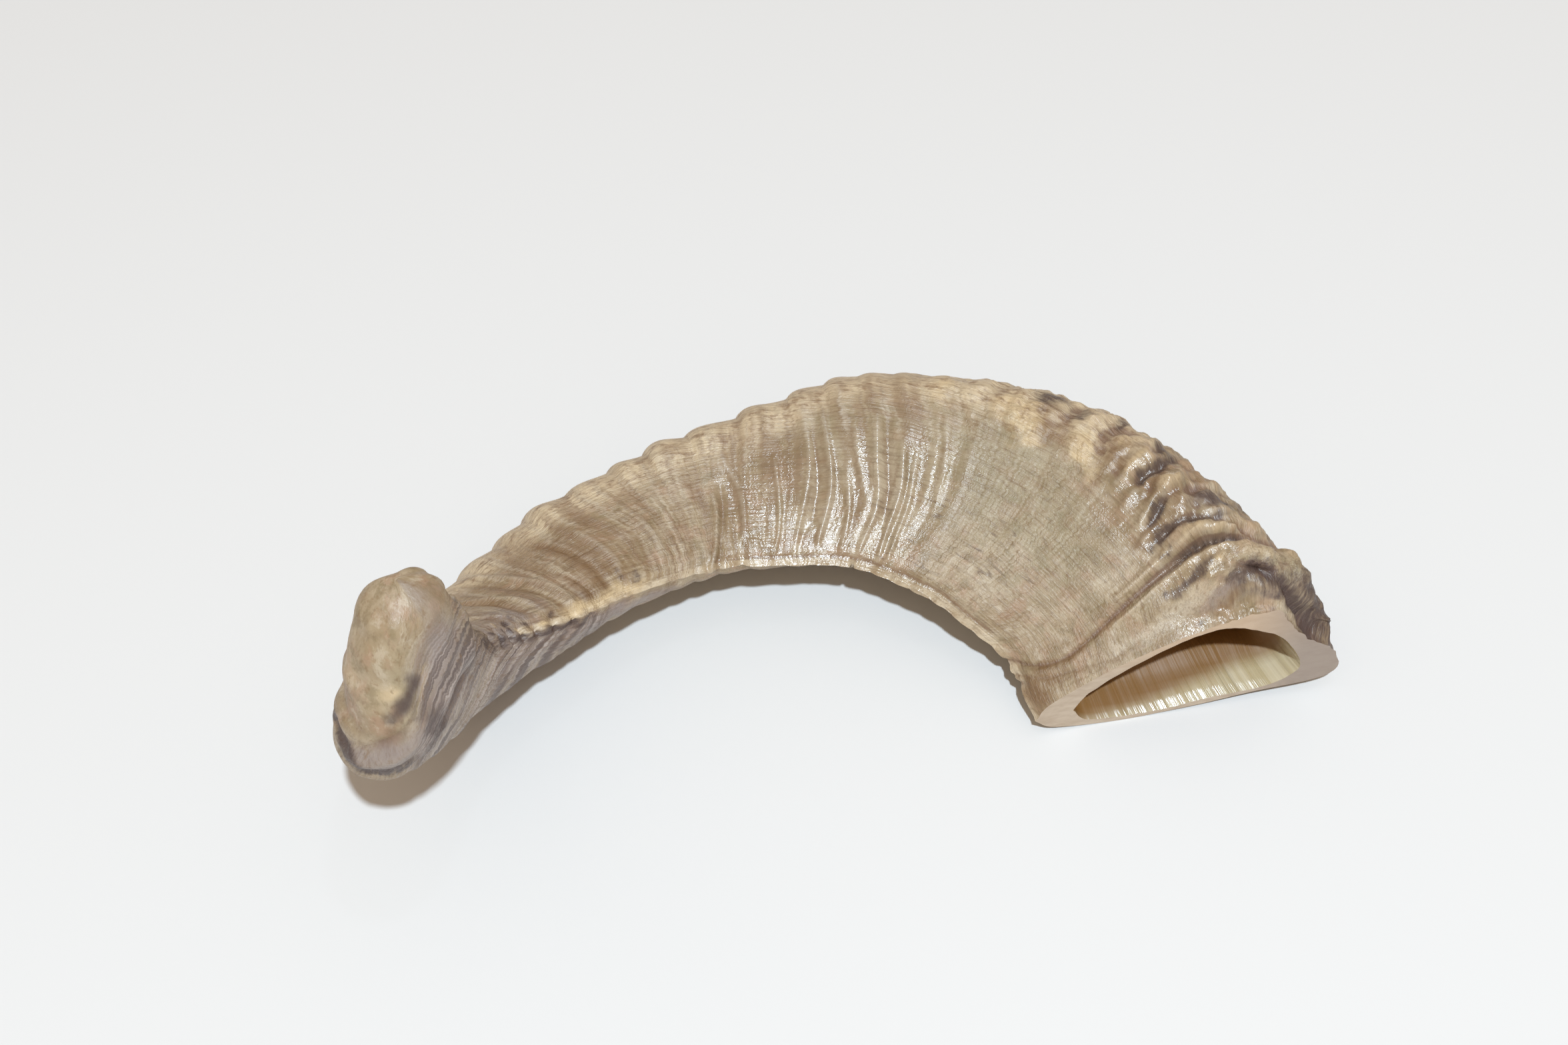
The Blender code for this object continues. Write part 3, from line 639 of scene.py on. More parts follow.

# Stains and colour patches
# Keratin is pale where it is thin and clean, and dark where pigment, dirt and wear have got in; some pale
# marks are partly painted highlight and sheen. Each patch is (place in 24ths, station, half sizes of both,
# strength), put where the horn has it.
PATCHES = {
    "dark": [
        (8.6, 4.10, 0.8, 0.10, 0.9), (8.5, 3.84, 0.5, 0.08, 0.8), (9.1, 3.60, 0.5, 0.05, 0.8),
        (9.0, 3.18, 0.5, 0.09, 1.0), (8.3, 2.96, 0.4, 0.07, 1.0), (7.5, 3.06, 0.4, 0.07, 1.0),
        (7.1, 2.71, 0.3, 0.06, 1.0), (6.8, 2.66, 0.3, 0.05, 1.0), (6.6, 2.51, 0.4, 0.06, 1.0),
        (8.7, 2.50, 0.7, 0.14, 0.6), (8.5, 2.31, 0.6, 0.03, 0.8), (9.2, 2.44, 0.5, 0.06, 0.8),
        (6.4, 2.31, 0.35, 0.05, 0.8), (6.6, 1.91, 0.9, 0.08, 0.9), (5.7, 1.99, 0.5, 0.04, 0.5),
        (8.1, 1.62, 0.6, 0.07, 0.8), (9.6, 1.63, 0.7, 0.06, 0.7), (11.2, 1.60, 1.0, 0.15, 0.5),
        (12.3, 1.50, 1.0, 0.30, 0.6), (13.3, 1.45, 0.9, 0.35, 0.7), (9.2, 1.43, 0.7, 0.07, 0.8),
        (10.6, 1.41, 0.8, 0.12, 0.8), (11.6, 1.28, 0.8, 0.14, 0.8), (6.7, 1.46, 0.6, 0.05, 0.5),
        (1.7, 7.86, 0.5, 0.08, 0.9), (2.2, 8.05, 0.6, 0.05, 0.5), (1.4, 10.15, 0.4, 0.08, 0.9),
        (1.2, 9.38, 0.4, 0.09, 0.8), (0.6, 10.22, 0.4, 0.05, 1.0), (23.2, 11.40, 0.9, 0.35, 0.8),
        (23.5, 10.6, 0.5, 0.12, 0.6), (23.6, 9.3, 0.45, 0.7, 0.9), (11.3, 12.42, 1.1, 0.11, 1.0),
        (16.4, 13.48, 0.5, 0.16, 0.9), (15.8, 13.28, 0.7, 0.16, 1.0), (14.9, 13.14, 0.6, 0.08, 0.8),
        (17.2, 12.92, 0.6, 0.25, 0.8), (17.7, 12.55, 0.7, 0.30, 0.7), (10.8, 2.4, 1.0, 0.3, 0.5),
        (10.6, 3.4, 1.0, 0.3, 0.4), (14.0, 2.4, 2.0, 0.4, 0.4), (18.0, 4.5, 2.0, 0.6, 0.4),
        (0.2, 10.6, 0.5, 0.07, 0.8), (23.6, 11.0, 0.7, 0.20, 0.7), (0.9, 9.85, 0.4, 0.06, 0.8),
        (12.8, 12.32, 1.1, 0.12, 1.0), (14.2, 12.25, 1.0, 0.11, 1.0), (12.2, 1.62, 1.2, 0.14, 0.9),
        (8.6, 1.57, 0.8, 0.08, 0.9), (9.9, 12.46, 0.9, 0.09, 0.9), (12.0, 12.16, 1.5, 0.12, 0.8),
        (13.6, 12.26, 1.2, 0.12, 1.0), (15.1, 12.16, 1.1, 0.12, 1.0), (16.3, 12.18, 0.9, 0.11, 0.9),
        (0.8, 10.35, 0.35, 0.05, 0.9), (0.3, 10.75, 0.4, 0.05, 0.9), (23.7, 10.1, 0.4, 0.30, 0.8),
        (1.6, 9.95, 0.4, 0.05, 0.7),
    ],
    "brown": [
        (7.9, 4.02, 1.0, 0.22, 0.6), (7.0, 3.95, 0.5, 0.10, 0.8), (7.4, 3.38, 0.8, 0.17, 0.9),
        (7.2, 2.88, 0.6, 0.10, 1.0), (7.6, 2.55, 0.6, 0.12, 0.7), (6.5, 2.60, 0.5, 0.11, 0.9),
        (6.2, 2.66, 0.4, 0.05, 0.8), (1.0, 1.45, 1.3, 0.24, 1.0), (2.2, 1.80, 0.8, 0.08, 0.8),
        (3.4, 2.08, 0.8, 0.06, 0.4), (2.9, 1.88, 0.8, 0.06, 0.8), (7.6, 1.51, 0.5, 0.05, 0.8),
        (12.9, 1.55, 1.4, 0.35, 0.7), (4.3, 1.62, 0.7, 0.06, 0.6), (2.5, 1.62, 0.9, 0.06, 0.6),
        (4.3, 8.30, 1.8, 0.22, 0.7), (3.0, 8.15, 1.2, 0.20, 0.6), (2.2, 8.60, 1.0, 0.25, 0.7),
        (1.3, 9.20, 0.6, 0.30, 0.6), (6.5, 7.30, 1.2, 0.14, 0.4), (5.0, 6.90, 1.0, 0.10, 0.6),
        (8.2, 6.20, 0.7, 0.12, 0.5), (9.6, 8.2, 1.0, 0.4, 0.4), (15.0, 13.01, 0.5, 0.09, 0.7),
        (12.8, 12.90, 0.6, 0.09, 0.6), (13.3, 13.30, 0.5, 0.10, 0.4), (10.5, 13.20, 1.0, 0.35, 0.5),
        (7.4, 6.95, 0.5, 0.08, 0.6), (8.4, 5.25, 0.7, 0.10, 0.4), (2.4, 5.15, 0.5, 0.05, 0.5),
        (1.5, 4.85, 0.5, 0.20, 0.5), (3.4, 3.55, 0.5, 0.09, 0.4), (2.6, 3.10, 0.7, 0.10, 0.3),
        (4.4, 2.70, 0.8, 0.10, 0.4),
    ],
    "cream": [
        (7.3, 4.17, 0.8, 0.11, 1.0), (6.8, 4.05, 0.6, 0.09, 0.9), (7.7, 4.32, 0.7, 0.08, 0.7),
        (7.1, 3.70, 0.6, 0.12, 0.9), (6.7, 3.52, 0.4, 0.08, 0.6), (8.5, 4.71, 0.9, 0.05, 0.8),
        (7.5, 4.68, 0.6, 0.05, 0.5), (8.0, 4.92, 0.8, 0.05, 0.5), (9.0, 5.12, 0.9, 0.08, 0.6),
        (8.3, 2.15, 0.35, 0.045, 1.0), (7.5, 2.27, 0.35, 0.05, 1.0), (7.9, 2.78, 0.6, 0.08, 0.8),
        (8.2, 3.42, 0.6, 0.09, 0.8), (7.8, 3.22, 0.5, 0.06, 0.8), (7.7, 1.86, 0.6, 0.06, 0.8),
        (7.5, 1.66, 0.7, 0.05, 0.9), (6.4, 1.75, 0.8, 0.08, 0.6), (5.0, 1.75, 0.8, 0.10, 0.4),
        (0.9, 8.00, 0.9, 0.40, 0.7), (1.0, 9.00, 0.8, 0.25, 1.0), (0.6, 9.62, 0.35, 0.10, 1.0),
        (0.4, 10.05, 0.3, 0.06, 1.0), (1.0, 8.50, 0.6, 0.30, 0.7), (1.5, 10.48, 0.4, 0.08, 0.7),
        (15.0, 13.46, 0.9, 0.13, 0.7), (11.0, 13.5, 2.0, 0.25, 0.5), (6.0, 13.44, 2.0, 0.30, 0.4),
        (9.0, 6.9, 1.0, 0.12, 0.5),
    ],
    "green": [
        (5.2, 4.10, 1.6, 0.45, 0.9), (6.2, 4.35, 1.0, 0.25, 0.8), (4.8, 3.40, 1.2, 0.40, 0.6),
        (4.4, 3.00, 1.0, 0.30, 0.5), (6.3, 4.90, 1.0, 0.15, 0.5), (6.0, 5.30, 1.4, 0.30, 0.5),
        (9.2, 1.74, 0.7, 0.07, 0.9), (10.7, 1.68, 0.9, 0.10, 0.8), (16.0, 13.5, 1.0, 0.3, 0.6),
        (9.0, 7.6, 1.5, 0.5, 0.5), (9.5, 8.7, 1.5, 0.5, 0.6),
    ],
    "lilac": [
        (22.3, 9.8, 1.4, 1.3, 1.0), (20.8, 11.8, 2.2, 1.4, 1.0), (18.6, 13.2, 1.2, 0.8, 1.0),
        (2.2, 10.0, 1.6, 0.35, 0.8), (22.6, 8.2, 0.9, 0.8, 0.9), (14.0, 12.45, 2.2, 0.13, 0.9),
        (16.6, 12.75, 0.8, 0.20, 0.9), (2.8, 9.35, 1.5, 0.15, 0.6), (8.7, 2.50, 0.8, 0.15, 0.7),
        (8.0, 1.62, 0.8, 0.09, 0.8), (6.3, 1.93, 0.9, 0.07, 0.7), (7.0, 1.58, 0.8, 0.07, 0.5),
        (9.2, 1.43, 0.8, 0.08, 0.7), (11.8, 1.35, 0.9, 0.20, 0.7), (1.9, 8.75, 0.8, 0.2, 0.6),
        (0.6, 10.60, 1.2, 0.45, 0.9), (3.0, 10.90, 1.2, 0.40, 0.8), (15.4, 12.60, 1.4, 0.20, 0.9),
        (18.8, 12.2, 2.0, 0.8, 0.9), (2.4, 9.75, 1.0, 0.12, 0.6),
    ],
    "pale": [
        (6.9, 3.19, 0.35, 0.05, 0.8), (6.6, 3.02, 0.30, 0.05, 0.9), (6.4, 2.76, 0.25, 0.05, 1.0),
        (6.1, 2.62, 0.30, 0.05, 0.8), (4.8, 13.66, 0.8, 0.12, 0.7), (7.8, 13.89, 0.8, 0.12, 0.7),
        (9.5, 13.65, 0.7, 0.10, 0.6), (5.8, 1.70, 1.4, 0.14, 0.9), (5.2, 2.60, 0.7, 0.12, 0.5),
    ],
}
PATCH_FALL = 0.8
LINE_STRENGTH = {"dark": 0.80, "brown": 0.55, "pale": 0.60}
# Waves that shift each vertex around and along, to break up a patch's outline, and how far a line takes part
NUDGES_AROUND = [(6.0, 3.0, 0.5), (2.2, 9.0, 0.3)]
NUDGES_ALONG = [(6.0, 21.0, 0.07), (2.2, 33.0, 0.04)]
LINE_NUDGE = 0.2
vert_points = plain_skin[ring_index, slot_of]
nudged_at = vert_at + waves(vert_points, NUDGES_AROUND)
nudge_station = waves(vert_points, NUDGES_ALONG)


def patched(name):
    """How strongly each vertex lies in a tone's patches and lines, from 0 to 1."""
    left = np.ones(len(vert_at))
    for place, station, half_place, half_station, strength in PATCHES[name]:
        around_it = apart(nudged_at, place) / half_place
        along_it = (vert_station + nudge_station - station) / half_station
        left = left * (1 - strength * np.exp(-PATCH_FALL * (around_it**2 + along_it**2)))
    for line in LINES:
        if line[0] == name:
            share = line_share(line, vert_at, vert_station + nudge_station * LINE_NUDGE)
            left = left * (1 - LINE_STRENGTH[name] * share)
    return 1 - left


def blurred(grid, ring_reach, slot_reach):
    """A grid of values averaged over neighbours, along and around the horn."""
    edged = np.pad(grid, ((ring_reach, ring_reach), (0, 0)), mode="edge")
    along = range(2 * ring_reach + 1)
    grid = sum(edged[shift:shift + len(grid)] for shift in along) / len(along)
    about = range(-slot_reach, slot_reach + 1)
    return sum(np.roll(grid, shift, axis=1) for shift in about) / len(about)


def held(low, high, fade, first, last, ease):
    """Where a finish holds: from low to high around, in 24ths, and from the first to the last station."""
    return window(low, high, fade, vert_at) * window(first, last, ease, vert_station)


# The cut and the tip lie between these stations, whatever the ease
BEFORE_CUT = -2
PAST_TIP = 20
base_skin = 1 - smooth(3.6, 4.4, vert_station)
# Painted shade and highlight follow the relief: how far each vertex sits below the average of its neighbours
painted_relief_shading = (blurred(raised, 6, 5) - raised)[ring_index, slot_of]
for name in PATCHES:
    keep(name, patched(name))
keep("painted_relief_shading", painted_relief_shading * (0.45 + 0.55 * base_skin))
keep("lip", held(-1.0, 0.75, 0.15, BEFORE_CUT, 10.1, 0.2))
keep("lip_line", hill(vert_at, LIP_GROOVE, 0.2) * window(2.6, 6.6, 0.4, vert_station))
keep("back", held(12.0, 21.0, 2.0, BEFORE_CUT, 12.0, 0.5))
crest_from = 7.0 - 0.9 * smooth(5.0, 6.5, vert_station)
keep("crest", held(crest_from, 10.5, 0.9, 3.2, 10.5, 0.5))
keep("tip", smooth(12.3, 13.1, vert_station))
wet_flank = held(1.4, 5.8, 0.8, 4.3, 6.7, 0.4)
wet_knobs = held(5.6, 8.5, 0.5, BEFORE_CUT, 3.4, 0.2)
wet_lip = held(-0.5, 1.4, 0.4, 2.8, 7.2, 0.5)
keep("wet", np.clip(wet_flank + 0.8 * wet_knobs + wet_lip, 0, 1))
keep("under", held(16.6, 23.6, 0.8, 8.4, 13.7, 0.5))
flank_bands = held(-2.0, 7.75, 1.25, 4.6, PAST_TIP, 0.4)
under_bands = held(18.0, 26.0, 1.0, 9.0, PAST_TIP, 0.5)
keep("banded", 0.25 + 0.75 * np.maximum(flank_bands, under_bands))
keep("hairs", 0.3 + 0.7 * held(0.8, 4.5, 1.0, 3.0, 5.0, 0.3))
keep("rim", np.clip((ring_of - FIRST_RIM_RING) / RIM_RINGS, 0, 1))
keep("roof", window(-1.0, 11.4, 0.8, vert_at))
# Deeper in the hollow the wall darkens to brown, partly its own brown and partly a painted shadow of the
# upper rim
depth = ((CUT_POINT - CENTRE) * MM - rings[ring_of, slot_of]) @ CUT_NORMAL / MM
brown_from = np.interp(vert_at, [14, 17, 20, 23], [4.5, 4.2, -0.3, -3.0])
keep("brown_and_rim_shadow", smooth(brown_from, brown_from + 4.0, depth))


# Keratin
# Horn is keratin laid down in fine lengthways fibres and crosswise growth lines, and rubbed to a satin gloss.
# To the eye it is beige to brown, with dark hair-thin fibres, jagged bands, and paler ridges that shine where
# wet. The finest fibres, about 0.1 mm, are drawn 0.4 to 0.7 mm wide so that they show.
KERATIN_IOR = 1.54
FIBRE_RELIEF = 0.0005
SMOOTH = {"interpolation_type": "SMOOTHSTEP"}
COLOURS = {"data_type": "RGBA"}
ADD = {"operation": "ADD"}
MULTIPLY = {"operation": "MULTIPLY"}
MULTIPLY_ADD = {"operation": "MULTIPLY_ADD"}


def shade(code):
    """An sRGB hex colour as the linear colour that a shader takes."""
    parts = [int(code[at:at + 2], 16) / 255 for at in (1, 3, 5)]
    linear = [part / 12.92 if part <= 0.04045 else ((part + 0.055) / 1.055) ** 2.4 for part in parts]
    return (*linear, 1.0)


def give(tree, node, links):
    """Gives a node its inputs, as values or as sockets to link from."""
    for name, value in links.items():
        if isinstance(value, bpy.types.NodeSocket):
            tree.links.new(value, node.inputs[name])
        else:
            node.inputs[name].default_value = value


def add(tree, kind, settings, links):
    """Adds a node with its settings and its inputs."""
    node = tree.nodes.new(kind)
    for name, value in settings.items():
        setattr(node, name, value)
    give(tree, node, links)
    return node


keratin = bpy.data.materials.new("horn_keratin")
keratin.use_nodes = True
tree = keratin.node_tree


def clouds(vector, sizes, moved=(0, 0, 0), detail=2.0, roughness=0.55):
    """Clouds and streaks in the keratin, of these sizes in mm along, across and off the horn."""
    scale = [1 / size for size in sizes]
    stretched = add(tree, "ShaderNodeMapping", {}, {"Vector": vector, "Scale": scale, "Location": moved})
    links = {"Vector": stretched.outputs[0], "Scale": 1.0, "Detail": detail, "Roughness": roughness}
    return add(tree, "ShaderNodeTexNoise", {}, links).outputs["Fac"]


def coat(under, over, follows, low, high, strength=1.0, within=1.0):
    """Lays one colour over another where what it follows runs from low to high, held within a mask."""
    links = {"Value": follows, "From Min": low, "From Max": high, "To Max": strength}
    share = add(tree, "ShaderNodeMapRange", SMOOTH, links).outputs["Result"]
    share = add(tree, "ShaderNodeMath", MULTIPLY, {0: share, 1: within}).outputs[0]
    return add(tree, "ShaderNodeMix", COLOURS, {0: share, 6: under, 7: over}).outputs[2]


grown = add(tree, "ShaderNodeAttribute", {"attribute_name": "grown"}, {}).outputs["Vector"]
mask = {}
other_masks = ["painted_relief_shading", "lip", "lip_line", "back", "crest", "tip", "wet", "under", "banded", "hairs"]
for name in [*PATCHES, *other_masks]:
    mask[name] = add(tree, "ShaderNodeAttribute", {"attribute_name": name}, {}).outputs["Fac"]
links = {"Value": mask["tip"], "To Min": 1.0, "To Max": 0.15}
clear = add(tree, "ShaderNodeMapRange", SMOOTH, links).outputs["Result"]
banded = add(tree, "ShaderNodeMath", MULTIPLY, {0: mask["banded"], 1: clear}).outputs[0]

# The bands' edges are jagged by up to 3 mm along the horn
jag = clouds(grown, (18, 0.9, 0.9), (11, 0, 0), 3.0, 0.6)
jag = add(tree, "ShaderNodeMath", MULTIPLY, {0: jag, 1: 3.0}).outputs[0]
jag = add(tree, "ShaderNodeCombineXYZ", {}, {0: jag}).outputs[0]
jagged = add(tree, "ShaderNodeVectorMath", ADD, {0: grown, 1: jag}).outputs[0]
band_wide = clouds(jagged, (5.5, 45, 45), (2, 0, 0))
band_mid = clouds(jagged, (2.2, 25, 25), (8, 3, 0))
band_fine = clouds(jagged, (0.9, 18, 18), (5, 1, 0))
broad = clouds(grown, (15, 9, 9), (0, 0, 0), 4.0, 0.6)
blush = clouds(grown, (8, 5, 5), (31, 2, 5), 4.0, 0.6)
moss = clouds(grown, (6, 4, 4), (13, 7, 1), 5.0, 0.65)
fleck = clouds(grown, (2.8, 1.8, 1.8), (7, 3, 0), 4.0, 0.65)
speck = clouds(grown, (1.5, 0.9, 0.9), (3, 3, 6), 3.0, 0.6)
fibre = clouds(grown, (9, 0.7, 0.7), (0, 0, 0), 3.0, 0.6)
fibre_fine = clouds(grown, (5, 0.4, 0.4), (3, 8, 0))
hair_field = clouds(grown, (30, 2.4, 2.4), (1, 9, 4))
hair_gap = clouds(grown, (7, 3, 3), (17, 9, 4), 1.0)
grain = add(tree, "ShaderNodeMath", MULTIPLY_ADD, {0: fibre, 1: 0.45, 2: -0.5}).outputs[0]
grain = add(tree, "ShaderNodeMath", MULTIPLY_ADD, {0: fleck, 1: 0.55, 2: grain}).outputs[0]


def broken(name, amount=2.2):
    """A mask broken up into flecks and fibres, except at the smooth tip."""
    amount = add(tree, "ShaderNodeMath", MULTIPLY, {0: clear, 1: amount}).outputs[0]
    share = add(tree, "ShaderNodeMath", MULTIPLY_ADD, {0: grain, 1: amount, 2: 1.0}).outputs[0]
    return add(tree, "ShaderNodeMath", MULTIPLY, {0: mask[name], 1: share}).outputs[0]


colour = coat(shade("#bba98d"), shade("#a08a6a"), broad, 0.35, 0.65)
colour = coat(colour, shade("#b08f74"), blush, 0.48, 0.64, 0.65)
colour = coat(colour, shade("#8c7a59"), moss, 0.50, 0.64, 0.70)
colour = coat(colour, shade("#cdbfa8"), moss, 0.46, 0.34, 0.60)
green = add(tree, "ShaderNodeMath", MULTIPLY, {0: mask["green"], 1: 0.55}).outputs[0]
colour = add(tree, "ShaderNodeMix", COLOURS, {0: green, 6: colour, 7: shade("#9c9577")}).outputs[2]
colour = coat(colour, shade("#e4d1b0"), broken("crest"), 0.05, 1.05, 0.90)
colour = coat(colour, shade("#968a87"), broken("lilac", 1.4), 0.15, 0.85, 0.85)
colour = coat(colour, shade("#8c7862"), broken("back", 1.6), 0.20, 1.00, 0.60)
colour = coat(colour, shade("#917558"), band_wide, 0.48, 0.64, 0.55, banded)
colour = coat(colour, shade("#cbbca2"), band_wide, 0.46, 0.32, 0.50, banded)
colour = coat(colour, shade("#8a6d53"), band_mid, 0.50, 0.66, 0.45, banded)
colour = coat(colour, shade("#cfc2ac"), band_mid, 0.46, 0.34, 0.45, banded)
colour = coat(colour, shade("#846a52"), band_fine, 0.50, 0.66, 0.35, banded)
colour = coat(colour, shade("#bfb3ad"), band_fine, 0.50, 0.40, 0.65, mask["under"])
colour = coat(colour, shade("#5f504b"), band_mid, 0.46, 0.60, 0.85, mask["under"])
# The cream lip is partly paler keratin and partly a painted glow and sheen of light on the thin keel edge
lip_tone = coat(shade("#dccbaf"), shade("#b9a383"), blush, 0.42, 0.60)
colour = coat(colour, lip_tone, broken("lip", 1.6), 0.30, 1.05, 0.80)
colour = coat(colour, shade("#e0c89f"), broken("cream"), 0.20, 0.95, 0.90)
# Pale ridges, knobs and the stretch below the seam: partly paler keratin, partly painted highlight and sheen
colour = coat(colour, shade("#d0c4b0"), broken("pale", 2.6), 0.15, 1.00, 0.70)
colour = coat(colour, shade("#80603f"), broken("brown"), 0.15, 0.95, 0.80)
# Painted highlight on raised skin, then painted shade in the recesses
colour = coat(colour, shade("#cfb795"), mask["painted_relief_shading"], -0.15, -1.10, 0.45)
colour = coat(colour, shade("#76584a"), broken("painted_relief_shading"), 0.08, 0.80, 0.75)
colour = coat(colour, shade("#94745b"), fleck, 0.46, 0.66, 0.55, mask["crest"])
colour = coat(colour, shade("#84663f"), fleck, 0.56, 0.70, 0.50)
colour = coat(colour, shade("#7d6248"), speck, 0.56, 0.70, 0.35)
colour = coat(colour, shade("#7f6045"), broken("lip_line", 3.0), 0.25, 1.00, 0.80)
colour = coat(colour, shade("#73583f"), fibre, 0.52, 0.70, 0.36, clear)
colour = coat(colour, shade("#7b6148"), fibre_fine, 0.50, 0.70, 0.30, clear)

# Dark hair-thin lines run where the field crosses its middle, with gaps
hair = add(tree, "ShaderNodeMath", ADD, {0: hair_field, 1: -0.5}).outputs[0]
hair = add(tree, "ShaderNodeMath", {"operation": "ABSOLUTE"}, {0: hair}).outputs[0]
links = {"Value": hair, "From Max": 0.030, "To Min": 0.60, "To Max": 0.0}
hair = add(tree, "ShaderNodeMapRange", SMOOTH, links).outputs["Result"]
links = {"Value": hair_gap, "From Min": 0.46, "From Max": 0.62}
gap = add(tree, "ShaderNodeMapRange", SMOOTH, links).outputs["Result"]
for share in (gap, mask["hairs"], clear):
    hair = add(tree, "ShaderNodeMath", MULTIPLY, {0: hair, 1: share}).outputs[0]
colour = add(tree, "ShaderNodeMix", COLOURS, {0: hair, 6: colour, 7: shade("#5a422f")}).outputs[2]
colour = coat(colour, shade("#4d3b36"), broken("dark", 2.6), 0.18, 0.95, 0.92)
tint = add(tree, "ShaderNodeMath", MULTIPLY, {0: mask["wet"], 1: 0.20}).outputs[0]
colour = add(tree, "ShaderNodeMix", COLOURS, {0: tint, 6: colour, 7: shade("#968878")}).outputs[2]

# Where it is wet it is glossy, with a fine sparkle, and its grain stands up less
sparkle = clouds(grown, (0.8, 0.5, 0.5), (1, 5, 2))
links = {"Value": sparkle, "From Min": 0.35, "From Max": 0.65, "To Min": -0.04, "To Max": 0.10}
sparkle = add(tree, "ShaderNodeMapRange", SMOOTH, links).outputs["Result"]
links = {"Value": mask["wet"], "To Min": 0.45, "To Max": 0.17}
gloss = add(tree, "ShaderNodeMapRange", SMOOTH, links).outputs["Result"]
gloss = add(tree, "ShaderNodeMath", ADD, {0: gloss, 1: sparkle}).outputs[0]
heights = 0.0
for pattern, height in [(fibre, 0.6), (fibre_fine, 0.5), (band_fine, 0.9)]:
    heights = add(tree, "ShaderNodeMath", MULTIPLY_ADD, {0: pattern, 1: height, 2: heights}).outputs[0]
heights = add(tree, "ShaderNodeMath", MULTIPLY, {0: heights, 1: clear}).outputs[0]
heights = add(tree, "ShaderNodeMath", MULTIPLY_ADD, {0: fleck, 1: 0.5, 2: heights}).outputs[0]
links = {"Value": mask["wet"], "To Min": 0.70, "To Max": 0.38}
rise = add(tree, "ShaderNodeMapRange", SMOOTH, links).outputs["Result"]
heights = add(tree, "ShaderNodeMath", MULTIPLY, {0: heights, 1: rise}).outputs[0]
bump = add(tree, "ShaderNodeBump", {}, {"Strength": 1.0, "Distance": FIBRE_RELIEF, "Height": heights})
links = {"Base Color": colour, "Roughness": gloss, "IOR": KERATIN_IOR, "Normal": bump.outputs["Normal"]}
give(tree, tree.nodes["Principled BSDF"], links)
mesh.materials.append(keratin)

# Sawn horn
# The cut face is raw keratin, sawn and left: matte, pale and pinkish, peach at the crest and greyer towards
# the heel, with the faintest scratches and layers.
SAW_RELIEF = 0.0002
sawn = bpy.data.materials.new("sawn_horn")
sawn.use_nodes = True
tree = sawn.node_tree
place_m = add(tree, "ShaderNodeTexCoord", {}, {}).outputs["Object"]
place_parts = add(tree, "ShaderNodeSeparateXYZ", {}, {0: place_m}).outputs
layers = add(tree, "ShaderNodeAttribute", {"attribute_name": "rim"}, {}).outputs["Fac"]
scratches = clouds(place_m, (4 * MM, 4 * MM, 1.2 * MM), detail=4.0)
layers = clouds(layers, (0.3, 0.3, 0.3))
colour = coat(shade("#c6b5a1"), shade("#b6a38e"), scratches, 0.30, 0.70)
colour = coat(colour, shade("#a8927b"), layers, 0.50, 0.75, 0.25)
colour = coat(colour, shade("#d0b190"), place_parts[2], 0.012, 0.022, 0.50)
colour = coat(colour, shade("#93867e"), place_parts[0], 0.078, 0.098, 0.75)
bump = add(tree, "ShaderNodeBump", {}, {"Strength": 0.3, "Distance": SAW_RELIEF, "Height": scratches})
links = {"Base Color": colour, "Roughness": 0.62, "IOR": KERATIN_IOR, "Normal": bump.outputs["Normal"]}
give(tree, tree.nodes["Principled BSDF"], links)
mesh.materials.append(sawn)

# The hollow's lining
# Inside, the keratin was moulded against the bone core and stays smooth and glossy, with lengthways flutes:
# pale straw yellow below, a warm brown above where old tissue has dried on it, and a darker brown deeper in
# that is partly a painted shadow of the upper rim.
LINING_RELIEF = 0.0014
lining = bpy.data.materials.new("horn_lining")
lining.use_nodes = True
tree = lining.node_tree
grown = add(tree, "ShaderNodeAttribute", {"attribute_name": "grown"}, {}).outputs["Vector"]
brown_and_rim_shadow = add(tree, "ShaderNodeAttribute", {"attribute_name": "brown_and_rim_shadow"}, {}).outputs["Fac"]
roof = add(tree, "ShaderNodeAttribute", {"attribute_name": "roof"}, {}).outputs["Fac"]
streaks = clouds(grown, (40, 2.4, 2.4), detail=3.0)
stains = clouds(grown, (16, 7, 7), (4, 4, 0))
ripples = clouds(grown, (3.0, 2.2, 2.2), (8, 1, 2))
colour = coat(shade("#d4c9ae"), shade("#bdae8a"), streaks, 0.30, 0.75)
colour = coat(colour, shade("#a58557"), stains, 0.54, 0.70, 0.6)
# Deeper in: partly the wall's own brown, partly a painted shadow of the upper rim
colour = add(tree, "ShaderNodeMix", COLOURS, {0: brown_and_rim_shadow, 6: colour, 7: shade("#846032")}).outputs[2]
colour = add(tree, "ShaderNodeMix", COLOURS, {0: roof, 6: colour, 7: shade("#c2925c")}).outputs[2]
heights = add(tree, "ShaderNodeMath", MULTIPLY, {0: streaks, 1: 0.6}).outputs[0]
heights = add(tree, "ShaderNodeMath", MULTIPLY_ADD, {0: ripples, 1: 0.8, 2: heights}).outputs[0]
strength = add(tree, "ShaderNodeMapRange", SMOOTH, {"Value": brown_and_rim_shadow, "To Min": 0.8, "To Max": 0.2})
links = {"Strength": strength.outputs["Result"], "Distance": LINING_RELIEF, "Height": heights}
bump = add(tree, "ShaderNodeBump", {}, links)
gloss = add(tree, "ShaderNodeMapRange", SMOOTH, {"Value": brown_and_rim_shadow, "To Min": 0.16, "To Max": 0.50})
gloss = gloss.outputs["Result"]
links = {"Base Color": colour, "Roughness": gloss, "IOR": KERATIN_IOR, "Normal": bump.outputs["Normal"]}
give(tree, tree.nodes["Principled BSDF"], links)
mesh.materials.append(lining)

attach(horn, "root")
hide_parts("horn")

